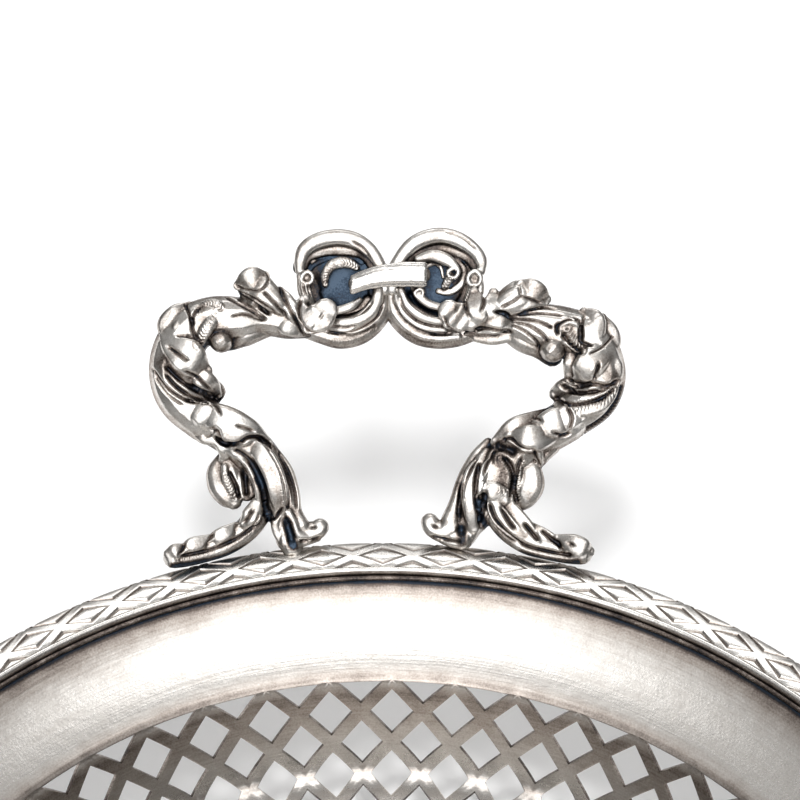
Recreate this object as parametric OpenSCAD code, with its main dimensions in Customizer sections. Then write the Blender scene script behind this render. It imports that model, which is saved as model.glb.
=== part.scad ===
// Round pierced serving basket with an applied ribbon border and two cast scroll handles.
// Millimetres, +Z up, origin on the table under the middle of the dish.
// The handles stand at +Y (back) and -Y (front); left and right are as seen from -Y.

/* [Dish] */
// Diameter over the ribbon border
dish_dia = 276; // [256:2:300]
// Depth from the border's outer edge down to the inside of the bottom
dish_depth = 34; // [30:1:40]
// Thickness of the spun sheet
sheet_t = 1; // [0.8:0.1:1.4]
// Width of the sloping ledge inside the border
ledge_w = 21; // [16:1:26]
// Drop of the ledge from the border to the pierced wall
ledge_drop = 8.7; // [6:0.1:11]
// How far the ledge is dished below a straight slope
ledge_sag = 1; // [0:0.1:1.6]
// Slope of the pierced wall from level
wall_slope = 71; // [62:1:80]
// Radius of the bend from wall to bottom
bend_r = 5; // [3:0.5:7]

/* [Piercing] */
// Diamonds in one turn of the pierced lattice
cell_count = 50; // [40:1:60]
// Width of the bars left between the diamonds
bar_w = 2.5; // [1.8:0.1:3.2]
// Turn of the lattice from the handle axis, in degrees
cell_turn = 1.06; // [0:0.01:3.6]
// Radial distance between lattice rows on the flat bottom
floor_row = 8; // [6:0.5:9]

/* [Border] */
// Width of the applied border
border_w = 8.8; // [7:0.1:11]
// Height of the border's outer edge above the flange that carries it
border_h = 1.6; // [1.2:0.1:2.4]
// Diamonds in one turn of the border
boss_count = 64; // [48:2:72]
// Height of the diamonds above the border's face
boss_h = 0.5; // [0.3:0.1:0.8]
// Radial size of a border diamond
boss_l = 4; // [3:0.1:5]
// Width of the raised edge on the border's inner side
ridge_w = 1.3; // [0.9:0.1:1.8]
// Thickness of the lip that covers the edge of the flange
lip_t = 0.6; // [0.4:0.1:1]
// Diameter of the thin thread wire inside the border
thread_dia = 1.1; // [0.8:0.1:1.6]
// Diameter of the stiffening wire under the edge
edge_wire_dia = 2.6; // [2:0.1:3.4]

/* [Feet] */
// Height of each foot
foot_h = 12; // [9:0.5:16]
// Diameter of the round rose plate that is soldered to the bottom
rose_dia = 15; // [12:0.5:16]
// Thickness of the rose plate
rose_t = 1.4; // [1:0.1:2]
// Diameter of the bun
bun_dia = 12; // [9:0.5:14]
// Diameter of the neck between rose and bun
neck_dia = 6.5; // [5:0.5:8]
// Diameter of the flat on which a foot rests
pad_dia = 6; // [4:0.5:7]
// Distance of each foot from the middle of the dish
foot_reach = 72; // [60:1:74]

/* [Handles] */
// Rise of each handle from level
handle_rise = 40; // [30:1:55]
// Sideways lean of each handle in its own plane
handle_lean = 1.5; // [0:0.5:3]
// Half the distance between the middles of the two arms' round bends
arm_x = 34.6; // [32:0.2:38]
// Distance of the middle of the arm's round bend from the rim
arm_y = 36.3; // [35:0.1:39]
// Radius of the arm's round bend
arm_bend = 11.6; // [10:0.2:13]
// Thickness of the arm
arm_dia = 10.4; // [8:0.2:11.4]
// Thickness of the shoulder between arm and scroll
shoulder_dia = 8.6; // [7:0.2:9.6]
// Length of the shoulder
shoulder_l = 13.5; // [12:0.5:15]
// Radius of the leg's long curve
leg_bend = 26; // [24:0.5:29]
// Thickness of the leg
leg_dia = 9.2; // [8:0.2:10.2]
// Distance of the shin's lower end from the handle's middle
shin_x = 18.8; // [17:0.2:21]
// How far the shin reaches down behind the rim
shin_drop = 3; // [1:0.2:4]
// Thickness of the shin at its lower end
shin_dia = 6; // [5:0.2:7]
// Thickness of the leaf foot that lies along the rim
leaf_dia = 4.8; // [4:0.2:6]
// Where the leaf foot meets the rim, from the handle's middle
leaf_start = 31; // [28:0.5:34]
// How far the leaf foot reaches along the rim from the handle's middle
leaf_reach = 44; // [38:0.5:48]
// Height of the leaf foot's middle above the border
leaf_rise = 2.2; // [1.8:0.1:3]

/* [Leaf curls] */
// Length of the bud on top of the arm
bud_l = 7.8; // [6:0.2:9]
// Thickness of the bud's stem
bud_dia = 4.4; // [3.6:0.2:5]
// Length of the leaf tip inside the arm's bend
tip_l = 8.6; // [7:0.2:9.6]
// Thickness of the leaf tip at its root
tip_dia = 5.4; // [4:0.2:6.4]
// Length of the bulb on the outside of the leg
bulb_l = 7.2; // [6:0.2:8.4]
// Thickness of the bulb's stem
bulb_dia = 5; // [4:0.2:6]
// Length of the curled toe
toe_l = 7; // [5:0.2:7.6]
// Thickness of the curled toe
toe_dia = 4.2; // [3.4:0.2:5]

/* [Scrolls] */
// Distance of the middle of the upper scroll from the rim
upper_y = 57.4; // [56.6:0.1:59]
// Radius of the upper scroll at the middle of its tube
upper_bend = 7.7; // [7.4:0.1:8.2]
// Thickness of the upper scroll
upper_dia = 5.2; // [4.4:0.1:5.6]
// Distance of the middle of the lower scroll from the rim
lower_y = 52.2; // [51.4:0.1:53]
// Radius of the lower scroll at the middle of its tube
lower_bend = 7; // [6.6:0.1:7]
// Thickness of the lower scroll
lower_dia = 6.6; // [6:0.1:7]
// Distance from the rim of the joint between upper and lower scroll
scroll_joint = 53.4; // [53:0.1:53.8]
// Thickness of the sunk bed inside a scroll
bed_t = 1.6; // [1:0.1:2.4]
// Height of the tie band, along the handle
band_w = 4.6; // [3.6:0.1:5]
// Thickness of the tie band
band_t = 1.7; // [1:0.1:2]
// Tilt of the tie band
band_tilt = 8; // [0:1:8]
// Room for solder between curved pieces
solder_gap = 0.1; // [0.05:0.05:0.3]

/* [Hidden] */
$fn = 96;
SIDES = ["front", "back"];
HANDS = ["left", "right"];

silver = [0.78, 0.77, 0.74];
worn = [0.66, 0.64, 0.61];
bright = [0.86, 0.85, 0.83];

// Radii and heights of the dish, inside surface
rim_r = dish_dia / 2;
rim_z = foot_h + sheet_t + dish_depth;
flange_r = rim_r - border_w;
flange_z = rim_z - border_h;
wall_r = flange_r - ledge_w;
wall_z = flange_z - ledge_drop;
floor_z = foot_h + sheet_t;
wall_drop = wall_z - floor_z;
corner_r = wall_r - wall_drop / tan(wall_slope);
wall_len = wall_drop / sin(wall_slope);
wall_rows = 3;
wall_row = wall_len / wall_rows;
bend_steps = 5;
ledge_steps = 6;

// A point on the ledge, dished by ledge_sag at its middle
function ledge_pt(u) = [flange_r - ledge_w * u, flange_z - ledge_drop * u - 4 * ledge_sag * u * (1 - u)];

// A point on the bend from wall to bottom
bend_len = bend_r * tan(wall_slope / 2);
function bend_pt(u) = [
    corner_r - bend_len + bend_r * sin(wall_slope * u),
    floor_z + bend_r - bend_r * cos(wall_slope * u)
];

inside_pts = concat(
    [[rim_r - lip_t - solder_gap, flange_z]],
    [for (i = [0:ledge_steps]) ledge_pt(i / ledge_steps)],
    [for (i = [0:bend_steps]) bend_pt(1 - i / bend_steps)],
    [[0, floor_z]]
);

// Moves a point of an open line sideways by t, square to the line on both sides of it
function unit(v) = v / norm(v);
function side(a, b) = let(d = unit(b - a)) [-d[1], d[0]];
function pushed(pts, i, t) =
    i == 0 ? pts[0] + t * side(pts[0], pts[1]) :
    i == len(pts) - 1 ? pts[i] + t * side(pts[i - 1], pts[i]) :
    let(n1 = side(pts[i - 1], pts[i]), n2 = side(pts[i], pts[i + 1]))
    pts[i] + t * (n1 + n2) / (1 + n1 * n2);
outside_pts = [for (i = [0:len(inside_pts) - 1]) pushed(inside_pts, i, sheet_t)];

module dish_shell() {
    rotate_extrude()
        polygon(concat(inside_pts, [for (i = [len(outside_pts) - 1:-1:0]) outside_pts[i]]));
}

// Share of a cell that is cut out, so that bars of bar_w stay; a and b are its half diagonals
function open_share(a, b) = 1 - bar_w / 2 * norm([a, b]) / (a * b);
function half_cell(r) = PI * r / cell_count;

// A punch for one opening: up and down along the slope, half as wide as w, square to a face of slope tilt
module punch(r, z, tilt, up, down, w) {
    translate([r, 0, z])
        rotate([0, -tilt, 0])
            linear_extrude(height = 8 * sheet_t, center = true)
                polygon([[up, 0], [0, w], [-down, 0], [0, -w]]);
}

module punch_top(r, z, tilt, down, w) {
    translate([r, 0, z])
        rotate([0, -tilt, 0])
            linear_extrude(height = 8 * sheet_t, center = true)
                polygon([[0, w], [-down, 0], [0, -w]]);
}

module ring_of(count, turn) {
    for (i = [0:count - 1])
        rotate([0, 0, 90 - turn - i * 360 / count])
            children();
}

module piercing() {
    half_step = 180 / cell_count;
    top_share = open_share(half_cell(wall_r), wall_row);
    ring_of(cell_count, cell_turn + half_step)
        punch_top(wall_r, wall_z, wall_slope, wall_row * top_share, half_cell(wall_r) * top_share);
    for (k = [1:wall_rows - 1]) {
        r = wall_r - k * wall_row * cos(wall_slope);
        share = open_share(half_cell(r), wall_row);
        ring_of(cell_count, cell_turn + (k + 1) % 2 * half_step)
            punch(r, wall_z - k * wall_row * sin(wall_slope), wall_slope,
                wall_row * share, wall_row * share, half_cell(r) * share);
    }
    fold = wall_slope / 2;
    fold_share = open_share(half_cell(corner_r), wall_row);
    ring_of(cell_count, cell_turn)
        punch(corner_r, floor_z, fold, wall_row * fold_share * cos(fold),
            floor_row * fold_share * cos(fold), half_cell(corner_r) * fold_share);
    floor_r = corner_r - floor_row;
    floor_share = open_share(half_cell(floor_r), floor_row);
    ring_of(cell_count, cell_turn + half_step)
        punch(floor_r, floor_z, 0, floor_row * floor_share, floor_row * floor_share,
            half_cell(floor_r) * floor_share);
    end_r = floor_r - floor_row;
    end_share = open_share(half_cell(end_r), floor_row);
    ring_of(cell_count, cell_turn)
        translate([end_r, 0, floor_z])
            rotate([0, 0, 180])
                punch_top(0, 0, 0, floor_row * end_share, half_cell(end_r) * end_share);
}

module pierced_dish() {
    color(silver)
        difference() {
            dish_shell();
            piercing();
        }
}

// Applied border: a flat strip with a lip over the flange's edge, an inner ridge and raised diamonds
ridge_h = boss_h;
border_in_r = flange_r + solder_gap;
boss_r = (rim_r + border_in_r + ridge_w) / 2;
boss_w = PI * boss_r / boss_count;
module ribbon_border() {
    color(worn) {
        rotate_extrude()
            polygon([
                [border_in_r, flange_z], [rim_r - lip_t, flange_z], [rim_r - lip_t, flange_z - sheet_t],
                [rim_r, flange_z - sheet_t], [rim_r, rim_z], [border_in_r + ridge_w, rim_z],
                [border_in_r + ridge_w * 0.75, rim_z + ridge_h],
                [border_in_r + ridge_w * 0.25, rim_z + ridge_h], [border_in_r, rim_z]
            ]);
        ring_of(boss_count, 0)
            translate([boss_r, 0, rim_z - border_h / 2])
                linear_extrude(height = border_h / 2 + boss_h)
                    polygon([[boss_l / 2, 0], [0, boss_w * 0.7], [-boss_l / 2, 0], [0, -boss_w * 0.7]]);
    }
}

// Thread wire in the corner between border and ledge
thread_r = thread_dia / 2;
thread_at = border_in_r - thread_r - solder_gap;
ledge_angle = atan2(ledge_drop + 4 * ledge_sag * (1 - 1 / ledge_steps), ledge_w);
thread_z = flange_z - (flange_r - thread_at) * tan(ledge_angle) + (thread_r + solder_gap / 2) / cos(ledge_angle);
module thread_wire() {
    color(bright)
        translate([0, 0, thread_z])
            rotate_extrude()
                translate([thread_at, 0])
                    circle(d = thread_dia);
}

// Stiffening wire under the flange, flush with the border's outer edge
edge_wire_at = rim_r - edge_wire_dia / 2;
edge_wire_z = flange_z - sheet_t - edge_wire_dia / 2 - solder_gap;
module edge_wire() {
    color(worn)
        translate([0, 0, edge_wire_z])
            rotate_extrude()
                translate([edge_wire_at, 0])
                    circle(d = edge_wire_dia);
}

// Turned foot: bun, neck and rose plate
bun_z = sqrt(pow(bun_dia / 2, 2) - pow(pad_dia / 2, 2));
module foot(sx, sy) {
    color(worn)
        translate([sx * foot_reach * cos(45), sy * foot_reach * sin(45), 0]) {
            translate([0, 0, foot_h - rose_t])
                cylinder(h = rose_t, d = rose_dia);
            translate([0, 0, bun_z])
                cylinder(h = foot_h - bun_z, d = neck_dia);
            intersection() {
                translate([0, 0, bun_z])
                    sphere(d = bun_dia);
                cylinder(h = foot_h - rose_t, d = bun_dia);
            }
        }
}

// Handle plane: X across, Y away from the rim, Z towards the top face
module on_handle(side, hand) {
    rotate([0, 0, side == "back" ? 0 : 180])
        translate([0, rim_r, rim_z])
            rotate([handle_rise, 0, 0])
                rotate([0, 0, -handle_lean])
                    mirror([hand == "left" ? 1 : 0, 0, 0])
                        children();
}

module bent_rod(at, bend, dia, from, to) {
    translate([at[0], at[1], 0])
        rotate([0, 0, from])
            rotate_extrude(angle = to - from)
                translate([bend, 0])
                    circle(d = dia);
}

// A straight tube, or a taper, between two points with three coordinates
module taper(p, q, dia_p, dia_q) {
    way = q - p;
    translate(p)
        rotate([0, acos(way[2] / norm(way)), atan2(way[1], way[0])])
            cylinder(h = norm(way), d1 = dia_p, d2 = dia_q);
}

function flat_pt(p) = [p[0], p[1], 0];
module rod(p, q, dia) {
    taper(flat_pt(p), flat_pt(q), dia, dia);
}

// A stem of length l from p with a round end of another size; toward is its direction in the handle's plane
module knob(p, toward, l, dia, end_dia) {
    translate(flat_pt(p))
        rotate([0, 0, toward])
            rotate([0, 90, 0])
                rotate_extrude() {
                    square([dia / 2, l]);
                    translate([0, l])
                        intersection() {
                            circle(d = end_dia);
                            translate([0, -end_dia])
                                square([end_dia, 2 * end_dia]);
                        }
                }
}

function on_circle(at, bend, a) = at + bend * [cos(a), sin(a)];

// Arm: shoulder, round bend, leaf bud on top and a curled leaf tip inside
arm_at = [arm_x, arm_y];
arm_from = 100;
arm_to = -70;
arm_way = [sin(arm_from), -cos(arm_from)];
shoulder_root = 0.1 * arm_bend;
shoulder_end = on_circle(arm_at, arm_bend, arm_from) + shoulder_root * arm_way;
shoulder_start = shoulder_end - (shoulder_l + shoulder_root) * arm_way;

// Leg: long curve that starts where the arm ends and runs down behind the rim
leg_start = on_circle(arm_at, arm_bend, arm_to);
leg_from = arm_to + 180;
leg_at = leg_start - leg_bend * [cos(leg_from), sin(leg_from)];
leg_to = leg_from + 57;
leg_end = on_circle(leg_at, leg_bend, leg_to);
shin_end = [shin_x, -shin_drop];

// Left and right scrolls touch at the middle of the handle
scroll_x = upper_bend + upper_dia / 2 + solder_gap;
scroll_up_at = [scroll_x, upper_y];
scroll_low_at = [scroll_x, lower_y];

module upper_tube(extra) {
    bent_rod(scroll_up_at, upper_bend, upper_dia + extra, 0, 180);
    for (s = [-1, 1])
        rod([scroll_x + s * upper_bend, upper_y], [scroll_x + s * upper_bend, scroll_joint], upper_dia + extra);
}

module lower_tube(extra) {
    bent_rod(scroll_low_at, lower_bend, lower_dia + extra, 180, 360);
    for (s = [-1, 1])
        rod([scroll_x + s * lower_bend, lower_y],
            [scroll_x + s * lower_bend, scroll_joint - solder_gap], lower_dia + extra);
}

// Tie band: a flat band bent round the two inner sides of the scrolls
band_y = upper_y - 0.1;
band_top = band_y - upper_y + band_w / 2 + 6 * sin(band_tilt);
band_in_x = scroll_x - sqrt(upper_bend * upper_bend - band_top * band_top)
    + upper_dia / 2 + solder_gap + band_w / 2 * sin(band_tilt);
band_in_z = upper_dia / 2 + solder_gap;
module band_block(extra) {
    translate([0, band_y, 0])
        rotate([0, 0, band_tilt])
            cube([
                2 * (band_in_x + band_t + extra),
                band_w + 2 * extra,
                2 * (band_in_z + band_t + extra)
            ], center = true);
}

module tie_band(side) {
    color(bright)
        on_handle(side, "right")
            difference() {
                band_block(0);
                translate([0, band_y, 0])
                    rotate([0, 0, band_tilt])
                        cube([2 * band_in_x, band_w + 2, 2 * band_in_z], center = true);
            }
}

module upper_scroll(side, hand) {
    color(worn)
        on_handle(side, hand)
            upper_tube(0);
}

// Lower scroll: reeded tube with the sunk bed that fills both scrolls
module lower_scroll(side, hand) {
    color(worn)
        on_handle(side, hand)
            difference() {
                union() {
                    lower_tube(0);
                    translate([0, 0, -bed_t - 0.4])
                        linear_extrude(height = bed_t) {
                            translate(scroll_low_at)
                                circle(r = lower_bend);
                            translate(scroll_up_at)
                                circle(r = upper_bend);
                            translate([scroll_x - lower_bend, lower_y])
                                square([2 * lower_bend, upper_y - lower_y]);
                        }
                }
                upper_tube(2 * solder_gap);
                mirror([hand == "left" ? 1 : 0, 0, 0])
                    band_block(solder_gap);
            }
}

bud_at = on_circle(arm_at, arm_bend, 84);
tip_at = on_circle(arm_at, arm_bend - 1, -10);
tip_end = tip_at + tip_l * [cos(204), sin(204)];
module arm(side, hand) {
    color(worn)
        on_handle(side, hand)
            difference() {
                union() {
                    rod(shoulder_start, shoulder_end, shoulder_dia);
                    bent_rod(arm_at, arm_bend, arm_dia, arm_to, arm_from);
                    knob(bud_at, 117, bud_l, bud_dia, bud_dia + 1);
                    taper(flat_pt(tip_at), flat_pt(tip_end), tip_dia, 0.3 * tip_dia);
                }
                lower_tube(2 * solder_gap);
            }
}

// Room that the rim takes from the leg
module rim_room() {
    translate([0, 0, edge_wire_z - edge_wire_dia])
        cylinder(h = rim_z + boss_h + solder_gap - edge_wire_z + edge_wire_dia, r = rim_r + solder_gap, $fn = 360);
}

// Leaf foot lying along the rim, and its first point in the handle's plane
leaf_r = rim_r + 1.3;
leaf_z = rim_z + leaf_rise;
leaf_from = asin(leaf_start / leaf_r);
leaf_to = asin(leaf_reach / leaf_r);
leaf_back = leaf_r * cos(leaf_from) - rim_r;
leaf_join = [
    leaf_start,
    leaf_back * cos(handle_rise) + leaf_rise * sin(handle_rise),
    leaf_rise * cos(handle_rise) - leaf_back * sin(handle_rise)
];

bulb_at = on_circle(leg_at, leg_bend, leg_from + 30);
toe_at = leg_end + 0.7 * (shin_end - leg_end);
module leg_curve(side, hand) {
    on_handle(side, hand) {
        bent_rod(leg_at, leg_bend, leg_dia, leg_from, leg_to);
        taper(flat_pt(leg_end + [0.2, 0.6]), flat_pt(shin_end), leg_dia - 0.8, shin_dia);
        taper(flat_pt(leg_end + [4, 2.4]), leaf_join, leaf_dia + 0.6, leaf_dia - 0.2);
        knob(bulb_at, -57, bulb_l, bulb_dia, bulb_dia + 1);
        knob(toe_at, 176, toe_l, toe_dia, toe_dia + 1);
    }
}

module leaf_foot(side, hand) {
    rotate([0, 0, side == "back" ? 0 : 180])
        mirror([hand == "left" ? 1 : 0, 0, 0])
            translate([0, 0, leaf_z]) {
                rotate([0, 0, 90 - leaf_to])
                    rotate_extrude(angle = leaf_to - leaf_from)
                        translate([leaf_r, 0])
                            circle(d = leaf_dia);
                translate([leaf_r * sin(leaf_to), leaf_r * cos(leaf_to), 0])
                    rotate([0, 0, -leaf_to])
                        rotate([0, 90, 0])
                            sphere(d = leaf_dia + 0.5);
            }
}

module leg(side, hand) {
    color(worn)
        difference() {
            union() {
                leg_curve(side, hand);
                leaf_foot(side, hand);
            }
            rim_room();
        }
}

pierced_dish();
ribbon_border();
thread_wire();
edge_wire();
foot(-1, -1);  // foot_front_left
foot(1, -1);  // foot_front_right
foot(-1, 1);  // foot_back_left
foot(1, 1);  // foot_back_right
tie_band("front");  // front_tie_band
tie_band("back");  // back_tie_band
upper_scroll("front", "left");  // front_left_upper_scroll
upper_scroll("front", "right");  // front_right_upper_scroll
upper_scroll("back", "left");  // back_left_upper_scroll
upper_scroll("back", "right");  // back_right_upper_scroll
lower_scroll("front", "left");  // front_left_lower_scroll
lower_scroll("front", "right");  // front_right_lower_scroll
lower_scroll("back", "left");  // back_left_lower_scroll
lower_scroll("back", "right");  // back_right_lower_scroll
arm("front", "left");  // front_left_arm
arm("front", "right");  // front_right_arm
arm("back", "left");  // back_left_arm
arm("back", "right");  // back_right_arm
leg("front", "left");  // front_left_leg
leg("front", "right");  // front_right_leg
leg("back", "left");  // back_left_leg
leg("back", "right");  // back_right_leg
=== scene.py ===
import math

import bmesh
import bpy
import numpy as np
from mathutils import Matrix, Vector


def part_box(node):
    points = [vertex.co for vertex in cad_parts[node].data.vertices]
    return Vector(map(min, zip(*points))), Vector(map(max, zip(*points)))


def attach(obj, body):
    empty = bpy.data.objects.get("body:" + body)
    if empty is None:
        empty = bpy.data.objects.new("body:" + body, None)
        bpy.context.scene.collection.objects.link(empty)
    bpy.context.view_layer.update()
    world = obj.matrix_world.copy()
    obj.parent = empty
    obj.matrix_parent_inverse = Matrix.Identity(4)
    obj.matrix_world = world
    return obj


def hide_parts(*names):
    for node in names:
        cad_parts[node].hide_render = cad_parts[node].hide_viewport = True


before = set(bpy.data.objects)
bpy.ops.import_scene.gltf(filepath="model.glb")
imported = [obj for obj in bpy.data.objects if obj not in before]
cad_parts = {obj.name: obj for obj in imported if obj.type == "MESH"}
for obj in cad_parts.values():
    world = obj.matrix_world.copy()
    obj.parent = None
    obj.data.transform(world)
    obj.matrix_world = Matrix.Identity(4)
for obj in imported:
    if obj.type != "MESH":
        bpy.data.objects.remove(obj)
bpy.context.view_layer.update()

# The camera and the light tent.
# A long lens looks square at the back handle from above the front of the basket. A soft lamp
# hangs over the table, inside a tent of dim cloth with three bright oval panels.
MM = 0.001
RIM_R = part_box("ribbon_border")[1].x / MM
CAMERA_RISE = math.radians(50.5)
CAMERA_AIM = Vector((3.71, RIM_R + 39.5, 47.0))
CAMERA_REACH = 679.1
LAMP_PLACE = Vector((-0.1, -0.1, 1.25))
LAMP_AIM = Vector((0, 0.1, 0.04))
LAMP_SIDE = 0.24
LAMP_POWER = 7.0
DOME_STRENGTH = 0.7
DOME_LEVELS = ((0, 0.05), (0.2, 0.1), (0.5, 0.3), (0.75, 0.55), (1, 0.65))
# Each panel's middle and half size in the plan of the tent, the share of it that is evenly
# bright, and its strength
PANELS = (((0.03, -0.16), (0.42, 0.2), 0.55, 3.0),
          ((-0.05, -0.66), (0.56, 0.37), 0.38, 5.0),
          ((0, 0.72), (0.5, 0.26), 0.45, 4.2))
ANY_HEIGHT = 1e6

camera = bpy.data.objects.new("camera", bpy.data.cameras.new("camera"))
camera.data.lens = 135
camera.data.sensor_width = 36
camera.data.clip_start = 0.05
camera.data.clip_end = 20
away = Vector((0, -math.cos(CAMERA_RISE), math.sin(CAMERA_RISE)))
camera.location = (CAMERA_AIM + CAMERA_REACH * away) * MM
camera.rotation_euler = (math.pi / 2 - CAMERA_RISE, 0, 0)
bpy.context.collection.objects.link(camera)
bpy.context.scene.camera = camera
bpy.context.scene.view_settings.view_transform = "Standard"

softbox = bpy.data.lights.new("overhead_softbox", "AREA")
softbox.shape = "SQUARE"
softbox.size = LAMP_SIDE
softbox.energy = LAMP_POWER
lamp = bpy.data.objects.new("overhead_softbox", softbox)
lamp.location = LAMP_PLACE
lamp.rotation_euler = (LAMP_AIM - LAMP_PLACE).to_track_quat("-Z", "Y").to_euler()
lamp.visible_glossy = False
bpy.context.collection.objects.link(lamp)


def node(tree, kind, inputs=None, **settings):
    """A shader node with its settings; each input gets a value or is joined to a socket."""
    made = tree.nodes.new("ShaderNode" + kind)
    for name, value in settings.items():
        setattr(made, name, value)
    for name, value in (inputs or {}).items():
        if isinstance(value, bpy.types.NodeSocket):
            tree.links.new(value, made.inputs[name])
        else:
            made.inputs[name].default_value = value
    return made


def ramp(tree, source, steps):
    """The colour for each value of the source, between steps that give a place and a colour."""
    made = node(tree, "ValToRGB", {"Fac": source})
    elements = made.color_ramp.elements
    for element, (at, colour) in zip(elements, (steps[0], steps[-1])):
        element.position = at
        element.color = (*colour, 1)
    for at, colour in steps[1:-1]:
        elements.new(at).color = (*colour, 1)
    return made.outputs["Color"]


def tent_world():
    """The dome of the tent, dark near the table, with the panels added to it."""
    world = bpy.data.worlds.new("tent")
    bpy.context.scene.world = world
    world.use_nodes = True
    tree = world.node_tree
    tree.nodes.clear()
    way = node(tree, "TexCoord").outputs["Generated"]
    height = node(tree, "SeparateXYZ", {0: way}).outputs["Z"]

    def cloth(colour, strength):
        return node(tree, "Background", {"Color": colour, "Strength": strength}).outputs[0]

    levels = [(at, (level, level, level)) for at, level in DOME_LEVELS]
    total = cloth(ramp(tree, height, levels), DOME_STRENGTH)
    for middle, half, core, strength in PANELS:
        size = (*half, ANY_HEIGHT)
        plan = node(tree, "Mapping", {"Vector": way, "Location": (*middle, 0), "Scale": size},
                    vector_type="TEXTURE")
        reach = node(tree, "VectorMath", {0: plan.outputs[0]}, operation="LENGTH")
        oval = ramp(tree, reach.outputs["Value"], ((core, (1, 1, 1)), (1.0, (0, 0, 0))))
        above = node(tree, "Math", {0: height, 1: oval}, operation="MULTIPLY", use_clamp=True)
        total = node(tree, "AddShader", {0: total, 1: cloth(above.outputs[0], strength)}).outputs[0]
    node(tree, "OutputWorld", {0: total})


tent_world()


# The table under the basket.
# A matt white sheet that carries on past every edge of the view and keeps the basket's shadow.
TABLE_HALF = 4
PAPER_WHITE = 0.9
PAPER_GLOW = 0.05


def table_paper():
    """White paper that glows a little where the camera or the silver sees it."""
    paper = bpy.data.materials.new("table_paper")
    paper.use_nodes = True
    tree = paper.node_tree
    shader = tree.nodes["Principled BSDF"]
    shader.inputs["Base Color"].default_value = (PAPER_WHITE, PAPER_WHITE, PAPER_WHITE, 1)
    shader.inputs["Roughness"].default_value = 0.9
    shader.inputs["Specular IOR Level"].default_value = 0.1
    rays = node(tree, "LightPath").outputs
    seen = node(tree, "Math", {0: rays["Is Camera Ray"], 1: rays["Is Glossy Ray"]}, operation="MAXIMUM")
    strength = node(tree, "Math", {0: seen.outputs[0], 1: PAPER_GLOW}, operation="MULTIPLY")
    glow = node(tree, "Emission", {"Color": (1, 1, 1, 1), "Strength": strength.outputs[0]})
    both = node(tree, "AddShader", {0: shader.outputs[0], 1: glow.outputs[0]})
    tree.links.new(both.outputs[0], tree.nodes["Material Output"].inputs["Surface"])
    return paper


table_mesh = bpy.data.meshes.new("table")
bm = bmesh.new()
bmesh.ops.create_grid(bm, x_segments=1, y_segments=1, size=TABLE_HALF)
bm.to_mesh(table_mesh)
bm.free()
table_mesh.materials.append(table_paper())
table = bpy.data.objects.new("table", table_mesh)
bpy.context.collection.objects.link(table)


# The dish of the basket.
# One disc of silver plate, spun over a former: a flat bottom, a steep wall and a dished ledge
# that ends in the flange. Diamonds are pierced out of the wall and the edge of the bottom.
SHEET = 1.0
FLOOR_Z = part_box("pierced_dish")[0].z / MM + SHEET
RIM_Z = FLOOR_Z + 34.0
BORDER_W = 8.8
FLANGE_Z = RIM_Z - 1.6
FLANGE_R = RIM_R - BORDER_W
FLANGE_END = RIM_R - 0.8
LEDGE_W = 21.0
LEDGE_DROP = 8.7
LEDGE_SAG = 1.0
WALL_SLOPE = math.radians(71)
WALL_R = FLANGE_R - LEDGE_W
WALL_Z = FLANGE_Z - LEDGE_DROP
WALL_BEND = 2.4
FLOOR_BEND = 5.0
WALL_LEN = (WALL_Z - FLOOR_Z) / math.sin(WALL_SLOPE)
WALL_ROW = WALL_LEN / 3
FLOOR_ROW = 8.0
CORNER_R = WALL_R - WALL_LEN * math.cos(WALL_SLOPE)
FLOOR_RINGS = (60, 30, 1)
CELLS = 50
CELL_TURN = math.radians(1.06)
BAR_W = 2.9
END_LIP = 0.04
SHEET_EDGE = 0.12


def rounded(points, radii, steps=8):
    """An open line with an arc of the given radius at each inner corner."""
    line = [Vector(points[0])]
    for before, corner, after, radius in zip(points, points[1:], points[2:], radii):
        corner = Vector(corner)
        to_before = (Vector(before) - corner).normalized()
        to_after = (Vector(after) - corner).normalized()
        half = to_before.angle(to_after) / 2
        centre = corner + (to_before + to_after).normalized() * radius / math.sin(half)
        start = corner + to_before * radius / math.tan(half) - centre
        turn = start.angle_signed(corner + to_after * radius / math.tan(half) - centre)
        for i in range(steps + 1):
            line.append(centre + Matrix.Rotation(-turn * i / steps, 2) @ start)
    line.append(Vector(points[-1]))
    return line


ledge = [(FLANGE_R - LEDGE_W * u, FLANGE_Z - LEDGE_DROP * u - 4 * LEDGE_SAG * u * (1 - u))
         for u in np.linspace(0, 1, 15)]
bends = rounded([ledge[-2], (WALL_R, WALL_Z), (CORNER_R, FLOOR_Z), (0, FLOOR_Z)], [WALL_BEND, FLOOR_BEND])
inside = [(FLANGE_END, FLANGE_Z)] + ledge[:-2] + bends[1:]
line_r = np.array([p[0] for p in inside])
line_z = np.array([p[1] for p in inside])
line_s = np.concatenate([[0], np.cumsum(np.hypot(np.diff(line_r), np.diff(line_z)))])


def along(r, z):
    """Distance along the inside line of the point on it that is nearest to r, z."""
    fine = np.linspace(0, line_s[-1], 20000)
    gap = np.hypot(np.interp(fine, line_s, line_r) - r, np.interp(fine, line_s, line_z) - z)
    return fine[gap.argmin()]


def open_share(r, row):
    """Share of a diamond that is cut out where the lattice's half width follows from r."""
    half = math.pi * r / CELLS
    return 1 - BAR_W / 2 * math.hypot(half, row) / (half * row)


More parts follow.
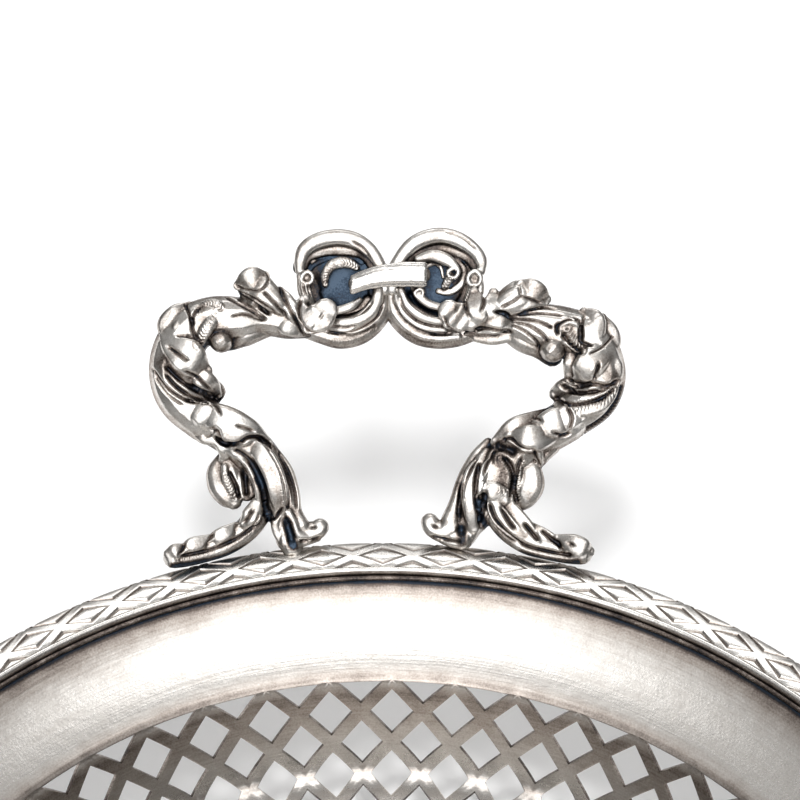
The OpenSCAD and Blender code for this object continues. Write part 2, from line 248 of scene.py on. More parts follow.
wall_rows = [(WALL_R - k * WALL_ROW * math.cos(WALL_SLOPE), WALL_Z - k * WALL_ROW * math.sin(WALL_SLOPE))
             for k in range(4)]
floor_rows = [(CORNER_R - k * FLOOR_ROW, FLOOR_Z) for k in (1, 2)]
open_shares = [open_share(r, WALL_ROW) for r, z in wall_rows]
open_shares += [open_share(r, FLOOR_ROW) for r, z in floor_rows]
LEDGE_ROWS = 4
FIRST = LEDGE_ROWS
LAST = FIRST + len(open_shares) - 1
plan_rows = list(np.linspace(0, along(*wall_rows[0]), LEDGE_ROWS + 1)[:-1])
plan_rows += [along(r, z) for r, z in wall_rows + floor_rows + [(r, FLOOR_Z) for r in FLOOR_RINGS]]


def dish_plan():
    """The lattice on an upright drum, bent into the dish: at first a height is minus its row's number."""
    bm = bmesh.new()
    drum = [bm.verts.new((0, 1, -i)) for i in range(len(plan_rows))]
    for a, b in zip(drum, drum[1:]):
        bm.edges.new((a, b))
    bmesh.ops.spin(bm, geom=bm.verts[:] + bm.edges[:], cent=(0, 0, 0), axis=(0, 0, -1),
                   angle=2 * math.pi, steps=2 * CELLS, use_merge=True)

    def is_centre(v):
        column = round(math.atan2(v.co.x, v.co.y) * CELLS / math.pi)
        return (column + round(-v.co.z) - FIRST) % 2 == 1

    def in_lattice(v):
        return FIRST - 0.5 < -v.co.z < LAST + 0.5

    # The grid's corners are joined crosswise, and its other lines are taken out, which leaves diamonds
    for f in [f for f in bm.faces if all(in_lattice(v) for v in f.verts)]:
        bmesh.ops.connect_verts(bm, verts=[v for v in f.verts if not is_centre(v)])
    bmesh.ops.dissolve_verts(bm, verts=[v for v in bm.verts if is_centre(v)
                                        and FIRST + 0.5 < -v.co.z < LAST - 0.5])
    spare = [e for e in bm.edges if abs(e.verts[0].co.z - e.verts[1].co.z) > 0.5
             and all(in_lattice(v) for v in e.verts) and any(is_centre(v) for v in e.verts)]
    bmesh.ops.dissolve_edges(bm, edges=spare)

    # Each diamond, or half diamond at the ends, gets a smaller copy of itself that is cut out
    diamonds = [f for f in bm.faces if all(in_lattice(v) for v in f.verts)]
    bmesh.ops.inset_individual(bm, faces=diamonds, thickness=0)
    for f in diamonds:
        row = round(sum(-v.co.z for v in f.verts) / 4)
        middle = f.verts[:]
        for end in (FIRST, LAST):
            flat = [v for v in f.verts if abs(-v.co.z - end) < 0.1]
            if len(flat) == 3:
                row = end
                middle = flat
        place = sum((v.co for v in middle), Vector()) / len(middle)
        share = open_shares[row - FIRST]
        bmesh.ops.scale(bm, vec=(share, share, share), space=Matrix.Translation(-place), verts=f.verts)
        for v in f.verts:
            v.co.z = min(max(v.co.z, -LAST + END_LIP), -FIRST - END_LIP)
    bmesh.ops.delete(bm, geom=diamonds, context="FACES")
    bmesh.ops.holes_fill(bm, edges=[e for e in bm.edges if e.is_boundary
                                    and -e.verts[0].co.z > len(plan_rows) - 1.5], sides=0)
    bmesh.ops.subdivide_edges(bm, edges=bm.edges[:], cuts=3, use_grid_fill=True)
    for v in bm.verts:
        turn = math.atan2(v.co.x, v.co.y) + CELL_TURN
        s = np.interp(-v.co.z, range(len(plan_rows)), plan_rows)
        r = np.interp(s, line_s, line_r)
        v.co = Vector((r * math.sin(turn), r * math.cos(turn), np.interp(s, line_s, line_z))) * MM
    bmesh.ops.recalc_face_normals(bm, faces=bm.faces[:])
    return bm


# The tones of silver plate from its rubbed faces down to its blue-black hollows
TONES = ((0.0, (0.80, 0.78, 0.75)), (0.25, (0.62, 0.59, 0.555)), (0.42, (0.39, 0.345, 0.31)),
         (0.58, (0.14, 0.113, 0.098)), (0.75, (0.03, 0.028, 0.03)), (0.88, (0.028, 0.042, 0.064)),
         (1.0, (0.06, 0.085, 0.12)))
# Noise scales of the patterns in the silver, and in metres the rings of dirt on the dish
CLOUDS = 230
SPECKS = 2600
DENTS = 420
GRAIN = 2000
STREAKS = 1500
STREAK_WAY = (0.004, 0.004, 0)
RING_WAVES = 26
RING_MIN = 0.002
RING_MORE = 0.014
CORNER_RING = 0.0018
# Height, narrowness and darkness of the darker lines along the two bends of the wall
BEND_LINES = ((WALL_Z, 900, 0.5), (FLOOR_Z + 1.2, 600, 0.35))


def silver(name, dirt=0.0, sheen=0.3, cloud=1.25, ring=False):
    """Worn silver plate: pale where it is rubbed, then brown, and blue-black where no polish reaches.

    Dirt darkens all of it, and on the pierced edges this darkening is painted shade; sheen is its
    least roughness, cloud is the strength of its patches, and ring adds the dish's combed streaks, its
    rings of dirt and the darker wall and bends.
    """
    material = bpy.data.materials.new(name)
    material.use_nodes = True
    tree = material.node_tree
    place = node(tree, "TexCoord").outputs["Object"]

    def noise(scale, detail, vector=place):
        return node(tree, "TexNoise", {"Vector": vector, "Scale": scale, "Detail": detail}).outputs["Fac"]

    def maths(operation, a, b, clamp=False):
        return node(tree, "Math", {0: a, 1: b}, operation=operation, use_clamp=clamp).outputs[0]

    def plus(*values):
        total = values[0]
        for value in values[1:]:
            total = maths("ADD", total, value)
        return total

    def minus(a, b, clamp=False):
        return maths("SUBTRACT", a, b, clamp)

    def times(a, b, clamp=False):
        return maths("MULTIPLY", a, b, clamp)

    def spread(source, amount):
        return times(minus(source, 0.5), amount)

    def vectors(operation, *values):
        return node(tree, "VectorMath", dict(enumerate(values)), operation=operation)

    hollow = node(tree, "Attribute", attribute_name="hollow").outputs["Fac"]
    stain = plus(hollow, dirt, spread(noise(CLOUDS, 4), cloud), spread(noise(SPECKS, 3), 0.3 + 0.5 * cloud))
    height = plus(noise(GRAIN, 4), times(noise(DENTS, 3), 1.5))
    if ring:
        level = node(tree, "SeparateXYZ", {0: place}).outputs["Z"]
        flat = vectors("MULTIPLY", place, (1, 1, 0)).outputs[0]
        radius = vectors("LENGTH", flat).outputs["Value"]
        upright = node(tree, "CombineXYZ", {"Z": plus(radius, level)}).outputs[0]
        combed = vectors("MULTIPLY_ADD", vectors("NORMALIZE", flat).outputs[0], STREAK_WAY, upright)
        streaks = noise(STREAKS, 4, combed.outputs[0])
        height = plus(height, times(streaks, 1.4))

        # Dirt lies in the flange's corner and on the bottom; the wall is made darker towards its top, and a
        # darker line runs along each of its two bends
        inwards = minus(FLANGE_R * MM, radius)
        width = plus(times(noise(RING_WAVES, 2), RING_MORE), RING_MIN)
        edge = minus(1, maths("DIVIDE", inwards, width), True)
        corner = minus(1, maths("DIVIDE", inwards, CORNER_RING), True)
        under_ledge = times(minus(WALL_Z * MM, level), 300, True)
        off_floor = times(minus(level, (FLOOR_Z + 1) * MM), 300, True)
        rise = times(minus(level, FLOOR_Z * MM), 45, True)
        on_wall = times(times(under_ledge, minus(rise, 0.2)), 0.75)
        on_floor = times(minus(1, off_floor), 0.1)
        stain = plus(stain, spread(streaks, 0.35), times(edge, times(edge, 0.9)), corner, on_wall, on_floor)
        for bend_z, narrow, depth in BEND_LINES:
            off = maths("ABSOLUTE", minus(level, bend_z * MM), 0)
            stain = plus(stain, times(minus(1, times(off, narrow), True), depth))
    bump = node(tree, "Bump", {"Strength": 0.12 + 0.2 * cloud, "Distance": 0.0001, "Height": height})
    shader = tree.nodes["Principled BSDF"]
    shader.inputs["Metallic"].default_value = 1
    tone = ramp(tree, plus(times(stain, 0.5), 0.25), TONES)
    rough = maths("MAXIMUM", plus(times(stain, 0.1), sheen), 0.15)
    for source, socket in ((tone, "Base Color"), (rough, "Roughness"), (bump.outputs[0], "Normal")):
        tree.links.new(source, shader.inputs[socket])
    return material


def placed(name, mesh, nodes):
    """Makes the mesh a piece of the basket that stands for the CAD nodes."""
    piece = bpy.data.objects.new(name, mesh)
    bpy.context.collection.objects.link(piece)
    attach(piece, "root")
    if nodes:
        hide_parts(*nodes)
    return piece


def finished(name, bm, material, nodes):
    """Makes the bmesh a smooth piece of one material."""
    mesh = bpy.data.meshes.new(name)
    bm.to_mesh(mesh)
    bm.free()
    mesh.shade_smooth()
    mesh.materials.append(material)
    return placed(name, mesh, nodes)


def softened(piece, width, angle):
    """Rounds the piece's edges that are sharper than the angle."""
    soft = piece.modifiers.new("soft_edges", "BEVEL")
    soft.width = width * MM
    soft.segments = 2
    soft.limit_method = "ANGLE"
    soft.angle_limit = math.radians(angle)


sheet_silver = silver("sheet_silver", -0.05, 0.28, 0.35, True)
# The cut faces round the holes get a darker silver of their own: painted shade, as if each cut wall lay in
# shadow.
shaded_cut_edge = silver("shaded_cut_edge", 0.6)
dish = finished("dish", dish_plan(), sheet_silver, ["pierced_dish"])
dish.data.materials.append(shaded_cut_edge)
wall = dish.modifiers.new("sheet", "SOLIDIFY")
wall.thickness = SHEET * MM
wall.offset = -1
# The sheet's cut rims take that second, darker silver as painted shade.
wall.material_offset_rim = 1
softened(dish, SHEET_EDGE, 50)

# The border.
# A stamped strip of silver, soldered on the flange: crossed ribbons leave diamonds with a small
# pointed boss in each, and a round rail closes it on the inner side.
BOSSES = 64
CROSS_AT = 4.6
CROSS_H = 3.74
PITCH = 2 * math.pi * (FLANGE_R + CROSS_AT) / BOSSES
RIBBON_W = 2.3
PIT_DEPTH = 0.42
# Widths and heights of the steps from a ribbon's middle line into its pit and up the boss
PIT_STEPS = ((RIBBON_W / 2, 0), (0.35, -PIT_DEPTH), (0.2, -0.05), (0.55, PIT_DEPTH))
BOSS_TIP = 0.1
CROWN_AT = 3.0
CROWN_TOP = 1.9
CROWN_FALL = 1.25
STAMPED_EDGE = 0.2
RAIL_W = 1.5
RAIL_STEPS = 256
RAIL_DIRT = 0.6
RAIL_DIRT_W = 0.4
PIT_DIRT = 0.75
OUTER_DIRT = 0.6
# The rail's section, as distances from the flange's inner edge and from its face
RAIL_SECTION = ((0.1, -0.05), (0.1, 1.0), (0.25, 1.6), (0.6, 2.0), (1.0, 2.05), (1.4, 1.9),
                (RAIL_W + 0.1, 1.5), (RAIL_W + 0.1, -0.05))


def crown(b):
    """Height of the border's face over the flange at the distance b from its inner edge."""
    out = max(b - CROWN_AT, 0) / (BORDER_W - CROWN_AT)
    return CROWN_TOP - CROWN_FALL * out * out


def border_unit():
    """One full diamond and the two that lie half a pitch on, in the plan of the strip."""
    unit = bmesh.new()
    for x, y in ((0, CROSS_AT), (PITCH / 2, CROSS_AT - CROSS_H), (PITCH / 2, CROSS_AT + CROSS_H)):
        place = Matrix.Translation((x, y, 0)) @ Matrix.Diagonal((PITCH / 2, CROSS_H, 1, 1))
        bmesh.ops.create_circle(unit, cap_ends=True, segments=4, radius=1, matrix=place)
    pits = unit.faces[:]
    for width, rise in PIT_STEPS:
        bmesh.ops.inset_individual(unit, faces=pits, thickness=width, depth=rise)
    bmesh.ops.poke(unit, faces=pits, offset=BOSS_TIP)
    bmesh.ops.subdivide_edges(unit, edges=unit.edges[:], cuts=1, use_grid_fill=True)
    for level, keep in ((RAIL_W, 1), (BORDER_W - 0.15, -1)):
        bmesh.ops.bisect_plane(unit, geom=unit.verts[:] + unit.edges[:] + unit.faces[:], dist=1e-4,
                               plane_co=(0, level, 0), plane_no=(0, -keep, 0), clear_outer=True)
    hollow = unit.verts.layers.float.new("hollow")
    for v in unit.verts:
        v[hollow] = min(max(-v.co.z / 0.45, 0), 1) * PIT_DIRT
    mesh = bpy.data.meshes.new("border_unit")
    unit.to_mesh(mesh)
    unit.free()
    return mesh


def border_strip():
    """The units laid in a ring on the flange, with an inner and an outer wall and a closed underside."""
    unit = border_unit()
    bm = bmesh.new()
    for i in range(BOSSES):
        before = len(bm.verts)
        bm.from_mesh(unit)
        bm.verts.ensure_lookup_table()
        bmesh.ops.translate(bm, vec=(i * PITCH, 0, 0), verts=bm.verts[before:])
    hollow = bm.verts.layers.float["hollow"]
    for v in bm.verts:
        v[hollow] += OUTER_DIRT * max(v.co.y / BORDER_W - 0.5, 0)
        turn = v.co.x / PITCH * 2 * math.pi / BOSSES
        r = FLANGE_R + v.co.y
        v.co = Vector((r * math.sin(turn), r * math.cos(turn), FLANGE_Z + crown(v.co.y) + v.co.z)) * MM
    bmesh.ops.remove_doubles(bm, verts=bm.verts[:], dist=0.02 * MM)
    bmesh.ops.recalc_face_normals(bm, faces=bm.faces[:])
    if sum(f.normal.z for f in bm.faces) < 0:
        bmesh.ops.reverse_faces(bm, faces=bm.faces[:])
    rims = [e for e in bm.edges if e.is_boundary]
    middle_r = (FLANGE_R + BORDER_W / 2) * MM
    for inner, low in ((True, FLANGE_Z), (False, FLANGE_Z - SHEET)):
        loop = [e for e in rims if (e.verts[0].co.xy.length < middle_r) == inner]
        side = bmesh.ops.extrude_edge_only(bm, edges=loop)["geom"]
        for v in (g for g in side if isinstance(g, bmesh.types.BMVert)):
            v.co.z = low * MM
            if not inner:
                v.co.xy = v.co.xy.normalized() * RIM_R * MM
    bmesh.ops.bridge_loops(bm, edges=[e for e in bm.edges if e.is_boundary])
    bmesh.ops.recalc_face_normals(bm, faces=bm.faces[:])
    return bm


def ring_bar(profile, steps):
    """A closed ring of revolution with the given section, as (radius, height) points."""
    bm = bmesh.new()
    section = [bm.verts.new((r * MM, 0, z * MM)) for r, z in profile]
    edges = [bm.edges.new((a, b)) for a, b in zip(section, section[1:] + section[:1])]
    bmesh.ops.spin(bm, geom=section + edges, cent=(0, 0, 0), axis=(0, 0, 1), angle=2 * math.pi,
                   steps=steps, use_merge=True)
    bmesh.ops.recalc_face_normals(bm, faces=bm.faces[:])
    return bm


border_silver = silver("border_silver", -0.32, 0.3, 0.9)
border = finished("border", border_strip(), border_silver, ["ribbon_border"])
softened(border, STAMPED_EDGE, 20)
rail = ring_bar([(FLANGE_R + b, FLANGE_Z + h) for b, h in RAIL_SECTION], RAIL_STEPS)
hollow = rail.verts.layers.float.new("hollow")
for v in rail.verts:
    v[hollow] = RAIL_DIRT if v.co.xy.length < (FLANGE_R + RAIL_DIRT_W) * MM else 0.0
finished("border_rail", rail, border_silver, [])

# The thread and the edge wire.
# A thin wire, dark with dirt, is soldered in the corner between border and ledge, and a thicker
# one stiffens the edge from below.
THREAD_R = 0.55
EDGE_WIRE_R = 1.3
WIRE_SIDES = 12
WIRE_STEPS = 320


def round_wire(source, wire_r):
    """A ring of round wire in the place of the CAD node."""
    low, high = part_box(source)
    middle_r = high.x / MM - wire_r
    middle_z = (low.z + high.z) / 2 / MM
    turns = [2 * math.pi * i / WIRE_SIDES for i in range(WIRE_SIDES)]
    section = [(middle_r + wire_r * math.cos(a), middle_z + wire_r * math.sin(a)) for a in turns]
    return ring_bar(section, WIRE_STEPS)


thread_silver = silver("thread_silver", 0.75)
finished("thread", round_wire("thread_wire", THREAD_R), thread_silver, ["thread_wire"])
finished("edge_bead", round_wire("edge_wire", EDGE_WIRE_R), border_silver, ["edge_wire"])

# The feet.
# Four bun feet, turned and hollow cast, stand under the flat bottom; each is soldered on by a
# thin round collar.
FOOT_STEPS = 48
# Up the bun, the neck and the collar, as shares of the foot's radius and height
FOOT_OUTLINE = ((0, 0), (0.3, 0), (0.42, 0.02), (0.62, 0.1), (0.78, 0.24), (0.83, 0.4), (0.8, 0.55),
                (0.66, 0.68), (0.52, 0.74), (0.5, 0.79), (0.58, 0.82), (0.62, 0.86), (0.86, 0.89),
                (0.97, 0.92), (1, 0.96), (1, 1), (0, 1))


def turned_foot(low, high):
    """A foot that fills the box, spun from its outline."""
    middle = (low + high) / 2 / MM
    radius = (high.x - low.x) / 2 / MM
    tall = (high.z - low.z) / MM
    bm = bmesh.new()
    line = [bm.verts.new((r * radius, 0, z * tall)) for r, z in FOOT_OUTLINE]
    edges = [bm.edges.new(pair) for pair in zip(line, line[1:])]
    bmesh.ops.spin(bm, geom=line + edges, cent=(0, 0, 0), axis=(0, 0, 1), angle=2 * math.pi,
                   steps=FOOT_STEPS, use_merge=True)
    bmesh.ops.remove_doubles(bm, verts=bm.verts[:], dist=0.001)
    bmesh.ops.recalc_face_normals(bm, faces=bm.faces[:])
    bmesh.ops.transform(bm, verts=bm.verts[:],
                        matrix=Matrix.Scale(MM, 4) @ Matrix.Translation((middle.x, middle.y, low.z / MM)))
    return bm


foot_silver = silver("foot_silver", 0.2)
for place in ("front_left", "front_right", "back_left", "back_right"):
    foot = turned_foot(*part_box("foot_" + place))
    finished("bun_foot_" + place, foot, foot_silver, ["foot_" + place])

# The cast handles.
# Each half of a handle is cast in silver in four pieces: arm, leg and two scrolls. Leaves, buds and
# flutes stand on round tubes, and the caster's chaser has cut their creases.
HANDLE_RISE = math.radians(40)
VOXEL = 0.21
BAR_SIDES = 16
BAR_END_TURNS = (0.5, 1.0, 1.45)
BAR_STEP = 0.7
PATH_STEP = 0.5
THINNEST = 0.1
END_FADE = 1.0
# The skin's lie is found on square cells of this size, and both it and the skin are evened this often
FACE_CELL = 0.4
EVENING = 14
CREASE_DEPTH = 0.16
# What each kind of hollow adds to the dirt
CREASE_DIRT = 0.45
SUNK_DIRT = 0.5
CHASED_DIRT = 0.6
BACK_DIRT = 0.3


def smooth_path(points, step):
    """Points of two or more numbers on a smooth curve, with its straight distances near step."""
    points = [np.array(p, float) for p in points]
    ends = [2 * points[0] - points[1]] + points + [2 * points[-1] - points[-2]]
    path = []
    for a, b, c, d in zip(ends, ends[1:], ends[2:], ends[3:]):
        count = max(2, math.ceil(np.linalg.norm(c[:2] - b[:2]) / step))
        for u in np.arange(count) / count:
            path.append(0.5 * (2 * b + (c - a) * u + (2 * a - 5 * b + 4 * c - d) * u * u
                               + (3 * b - a - 3 * c + d) * u ** 3))
    path.append(points[-1])
    return np.array(path)


def stroke(bm, points, flat):
    """A tapered bar with round ends, thick as flat times its width and squarer as it gets flatter.

    Each point is across, out, up and the half width, in the handle's own plane.
    """
    path = smooth_path(points, BAR_STEP)
    power = 4.8 - 2.4 * flat
    way = np.gradient(path[:, :2], axis=0)
    way /= np.linalg.norm(way, axis=1)[:, None]
    rings = [(path[0], way[0], -math.sin(a), math.cos(a)) for a in reversed(BAR_END_TURNS)]
    rings += [(p, w, 0, 1) for p, w in zip(path, way)]
    rings += [(path[-1], way[-1], math.sin(a), math.cos(a)) for a in BAR_END_TURNS]
    before = None
    for i, (p, w, shift, size) in enumerate(rings):
        half = max(p[3], THINNEST)
        place = Matrix(((-w[1] * half * size, 0, w[0], p[0] + w[0] * half * shift),
                        (w[0] * half * size, 0, w[1], p[1] + w[1] * half * shift),
                        (0, half * flat * size, 0, p[2]),
                        (0, 0, 0, 1)))
        last = i in (0, len(rings) - 1)
        made = bmesh.ops.create_circle(bm, cap_ends=last, segments=BAR_SIDES, radius=1)["verts"]
        for v in made:
            v.co /= (abs(v.co.x) ** power + abs(v.co.y) ** power) ** (1 / power)
        bmesh.ops.transform(bm, matrix=place, verts=made)
        if before:
            for k in range(BAR_SIDES):
                bm.faces.new((before[k], before[k - 1], made[k - 1], made[k]))
        before = made


def cast(bm):
    """Runs the strokes together into one skin, as the metal does in the mould."""
    bmesh.ops.recalc_face_normals(bm, faces=bm.faces[:])
    mesh = bpy.data.meshes.new("cast")
    bm.to_mesh(mesh)
    bm.free()
    raw = bpy.data.objects.new("cast", mesh)
    bpy.context.collection.objects.link(raw)
    skin = raw.modifiers.new("skin", "REMESH")
    skin.mode = "VOXEL"
    skin.voxel_size = VOXEL
    soft = raw.modifiers.new("soft", "SMOOTH")
    soft.factor = 0.5
    soft.iterations = 2
    made = bpy.data.meshes.new_from_object(raw.evaluated_get(bpy.context.evaluated_depsgraph_get()))
    bpy.data.objects.remove(raw)
    points = np.empty(len(made.vertices) * 3)
    made.vertices.foreach_get("co", points)
    corners = np.empty(len(made.loops), int)
    made.loops.foreach_get("vertex_index", corners)
    return {"mesh": made, "points": points.reshape(-1, 3), "quads": corners.reshape(-1, 4),
            "dark": np.zeros(len(made.vertices)), "bed": np.zeros(len(made.vertices))}


def outward(body):
    """The skin's normal at each of its points."""
    p, q = body["points"], body["quads"]
    face = np.cross(p[q[:, 2]] - p[q[:, 0]], p[q[:, 3]] - p[q[:, 1]])
    total = np.stack([np.bincount(q.ravel(), np.repeat(face[:, k], 4), len(p)) for k in range(3)], axis=1)
    return total / np.maximum(np.linalg.norm(total, axis=1), 1e-9)[:, None]


def along_path(body, points):
    """For each point of the skin: its distance from the path, how far along, and the path's length."""
    path = smooth_path(points, PATH_STEP)[:, :2]
    flat = body["points"][:, :2]
    best = np.full(len(flat), 1e9)
    reach = np.zeros(len(flat))
    run = 0.0
    for a, b in zip(path, path[1:]):
        length = np.linalg.norm(b - a)
        share = np.clip((flat - a) @ (b - a) / length ** 2, 0, 1)
        gap = np.linalg.norm(flat - a - share[:, None] * (b - a), axis=1)
        near = gap < best
        best[near] = gap[near]
        reach[near] = run + share[near] * length
        run += length
    return best, reach, run


def pushed_in(body, amount):
    """Moves the skin's face inwards by amount, less on its sides and not on its back."""
    normal = outward(body)
    facing = np.clip((normal[:, 2] + 0.15) / 0.5, 0, 1)
    body["points"] = body["points"] - normal * (amount * facing)[:, None]


def groove(body, points, width, depth):
    """A chased line that fades out at its ends and keeps dirt."""
    gap, reach, run = along_path(body, points)
    fade = np.clip(np.minimum(reach, run - reach) / END_FADE + 0.25, 0, 1)
    cut = np.exp(-(gap / width) ** 2) * fade
    pushed_in(body, depth * cut)
    body["dark"] = np.maximum(body["dark"], cut * min(1.6 * depth, 1.3))


def milled(body, points, width, depth, pitch):
    """A strip of slanted cuts, as left by a milling punch."""
    gap, reach, run = along_path(body, points)
    turn = 2 * math.pi * (reach + 0.6 * gap) / pitch
    cut = np.clip(1.3 - gap / width, 0, 1) * (0.5 + 0.5 * np.cos(turn)) ** 2
    pushed_in(body, depth * cut)
    body["dark"] = np.maximum(body["dark"], 0.45 * cut)


def tarnished(body, points, width, amount, height=9, layer="dark"):
    """Leaves the skin dark along the path where it lies below the height."""
    gap, reach, run = along_path(body, points)
    low = np.clip((height - body["points"][:, 2]) / 0.5, 0, 1)
    body[layer] = np.maximum(body[layer], amount * np.clip(1.6 - gap / width, 0, 1) * low)


def eased(body, values, rounds):
    """Values evened out over the skin's neighbours."""
    q = body["quads"]
    ends = np.concatenate([q, np.roll(q, 1, axis=1)]).ravel()
    others = np.concatenate([np.roll(q, 1, axis=1), q]).ravel()
    count = np.bincount(ends, minlength=len(values))
    for _ in range(rounds):
        values = 0.5 * values + 0.5 * np.bincount(ends, values[others], len(values)) / np.maximum(count, 1)
    return values


def sunk(body, normal):
    """How far each point lies below the lie of the face round it."""
    points = body["points"]
    low = points.min(axis=0)[:2] - 4 * FACE_CELL
    spot = ((points[:, :2] - low) / FACE_CELL).astype(int)
    size = spot.max(axis=0) + 6
    index = spot[:, 0] * size[1] + spot[:, 1]
    top = np.full(size[0] * size[1], -1e9)
    np.maximum.at(top, index, np.where(normal[:, 2] > 0, points[:, 2], -1e9))
    filled = (top > -1e8).astype(float)
    face = np.stack([(top * filled).reshape(size), filled.reshape(size)])
    for _ in range(EVENING):
        for axis in (1, 2):
            face = 0.5 * face + 0.25 * (np.roll(face, 1, axis) + np.roll(face, -1, axis))
    mean = face[0] / np.maximum(face[1], 1e-3)
    return np.clip(mean.ravel()[index] - points[:, 2], -1.5, 2.5)


def on_handle(side):
    """From the handle's own plane, in millimetres, to its place on the rim."""
    turn = Matrix.Rotation(math.pi if side == "front" else 0, 4, "Z")
    lift = Matrix.Translation((0, RIM_R * MM, RIM_Z * MM)) @ Matrix.Rotation(HANDLE_RISE, 4, "X")
    return turn @ lift @ Matrix.Scale(MM, 4)


cast_silver = silver("cast_silver", 0.0, 0.3)


def chased(name, body, material=cast_silver):
    """A cast piece on both handles; the hollows of its skin are marked for the tarnish."""
    normal = outward(body)
    mean = np.stack([eased(body, body["points"][:, k], EVENING) for k in range(3)], axis=1)
    crease = np.clip(((mean - body["points"]) * normal).sum(axis=1) / CREASE_DEPTH, -1, 1)
    front = np.clip(1 + 1.5 * normal[:, 2], 0, 1)
    hollow = CREASE_DIRT * crease + front * (SUNK_DIRT * sunk(body, normal) + CHASED_DIRT * body["dark"])
    hollow = np.maximum(np.clip(hollow, -0.8, 1.0), front * body["bed"]) + BACK_DIRT * (1 - front)
    shape = body["mesh"]
    shape.vertices.foreach_set("co", body["points"].ravel())
    mark = shape.attributes.new("hollow", "FLOAT", "POINT")
    mark.data.foreach_set("value", eased(body, hollow, 2))
    shape.shade_smooth()
    shape.materials.clear()
    shape.materials.append(material)
    for side in ("back", "front"):
        mesh = shape.copy()
        mesh.transform(on_handle(side))
        placed(side + "_" + name + "_cast", mesh, [side + "_" + name])


# The arms.
# Cast silver tubes bent round the elbow, with a bud on the shoulder, a ringed pod, a small round end
# and long leaves laid over the bend; each is soldered to its scrolls and its leg.
bm = bmesh.new()
# The tube under the leaves
stroke(bm, [(-16.8, 47, 0, 3.2), (-20.3, 47.7, 0, 4), (-26.4, 48.6, 0, 4.1), (-31.2, 48.1, 0, 4.9),
            (-36.8, 47.9, 0, 5.2), (-41.6, 46, 0, 5.3), (-44.5, 41.6, 0, 5.6), (-45.2, 36.1, 0, 5.8),
            (-43.6, 30.7, 0, 5.4), (-38.4, 25.7, 0, 4.8)], 0.92)
# The tube's swell over the round end
stroke(bm, [(-25.1, 46.6, 0.5, 2.4), (-30.1, 45.3, 0.8, 3.2), (-32.9, 43.6, 0.6, 2.4),
            (-35.1, 42.5, 0.4, 1.6)], 0.8)
# Two lobes on top of the elbow
stroke(bm, [(-42.1, 51.2, 1.6, 0.8), (-44.2, 49.2, 2.2, 2.6), (-46, 46.2, 2.4, 3.2),
            (-46.9, 43.3, 2.4, 1.4)], 0.45)
stroke(bm, [(-42.1, 49.9, 2.8, 1), (-42.1, 47.5, 3.2, 2.4), (-43.6, 44.9, 3.6, 2.8),
            (-45.6, 43.3, 3.6, 1)], 0.45)
# The elbow's main leaf, with a vein
stroke(bm, [(-48, 44.9, 3.6, 0.6), (-45.8, 42.7, 4.6, 2.6), (-42.9, 40.5, 5.1, 3.9),
            (-40.5, 38.3, 4.8, 3.4), (-38.4, 36.8, 4, 1.6)], 0.32)
# Its tip
stroke(bm, [(-42.1, 36.8, 3.6, 0.6), (-40.1, 35.7, 4.2, 1.9), (-38.4, 34.4, 4, 2.4), (-36.8, 32.9, 3, 2),
            (-35.7, 31.6, 1.2, 0.8)], 0.35)
stroke(bm, [(-36.2, 33.7, 1.2, 1.1), (-35.7, 32.4, -0.2, 1.5), (-36.8, 30.9, -1, 1.5)], 0.8)
# A lobe on the elbow's outer side
stroke(bm, [(-45.8, 45.7, 1.4, 0.7), (-46.9, 42.9, 1.8, 1.7), (-48, 39.6, 2, 2.3), (-48.4, 37, 1.8, 1.8),
            (-48, 35.5, 1.6, 0.6)], 0.6)
# The ringed pod
stroke(bm, [(-36.2, 49.7, 3.2, 1.1), (-37.1, 47.5, 4.2, 1.4), (-38.6, 45.1, 4.4, 1.4),
            (-39.9, 42.5, 3.4, 0.9)], 0.8)
stroke(bm, [(-40.5, 49.7, 2.6, 0.7), (-38.6, 51.2, 3.4, 0.9), (-36.4, 51.4, 3.8, 1.1),
            (-35.2, 50.3, 3.8, 1.1), (-35.3, 48.6, 3.4, 0.8)], 0.8)
# The small round end
stroke(bm, [(-35.3, 43.6, 2.4, 2.6), (-35.1, 43.3, 2.4, 2.6)], 1)
# The bud on the shoulder
stroke(bm, [(-20.3, 48.6, 3, 0.6), (-22.2, 50.8, 3.6, 2), (-24.6, 52.7, 3.4, 3), (-26.8, 54.2, 2.8, 3.7),
            (-28.3, 54.9, 2.4, 3.4)], 0.7)
stroke(bm, [(-31.4, 55.3, 3.6, 1.1), (-29.6, 56.4, 4.3, 2.2), (-27.7, 57.1, 4.3, 2.4),
            (-25.7, 57.3, 3.8, 1.3)], 0.3)
# A narrow lobe, with a curl below it
stroke(bm, [(-22.4, 54.2, 2.6, 1), (-20.9, 52.1, 3.6, 1.6), (-19.4, 49.4, 3.8, 1.7),
            (-17.9, 46.8, 3.2, 0.9)], 0.6)
stroke(bm, [(-23.3, 47.3, 2.8, 0.8), (-21.1, 46.4, 3.2, 1.7), (-18.7, 45.3, 2.8, 1.3),
            (-17.2, 44.6, 2, 0.5)], 0.5)
stroke(bm, [(-16.8, 52.5, 3.2, 1), (-17.7, 51.4, 3.8, 1.2), (-17.2, 49.2, 4.4, 1.9),
            (-15.7, 47.5, 4.6, 2.4)], 0.6)
# The big round lobe over the scroll
stroke(bm, [(-15.3, 47.5, 4.8, 2.9), (-13.5, 48.6, 5, 3.3), (-12.4, 49.9, 4.8, 2.7)], 0.32)
# The start of the leaf that wraps the leg
stroke(bm, [(-42.1, 29.8, 3.4, 0.8), (-40.1, 28.5, 3.8, 2.6), (-38.1, 27, 3.8, 3),
            (-36.4, 25.2, 3.2, 2.4)], 0.45)
body = cast(bm)
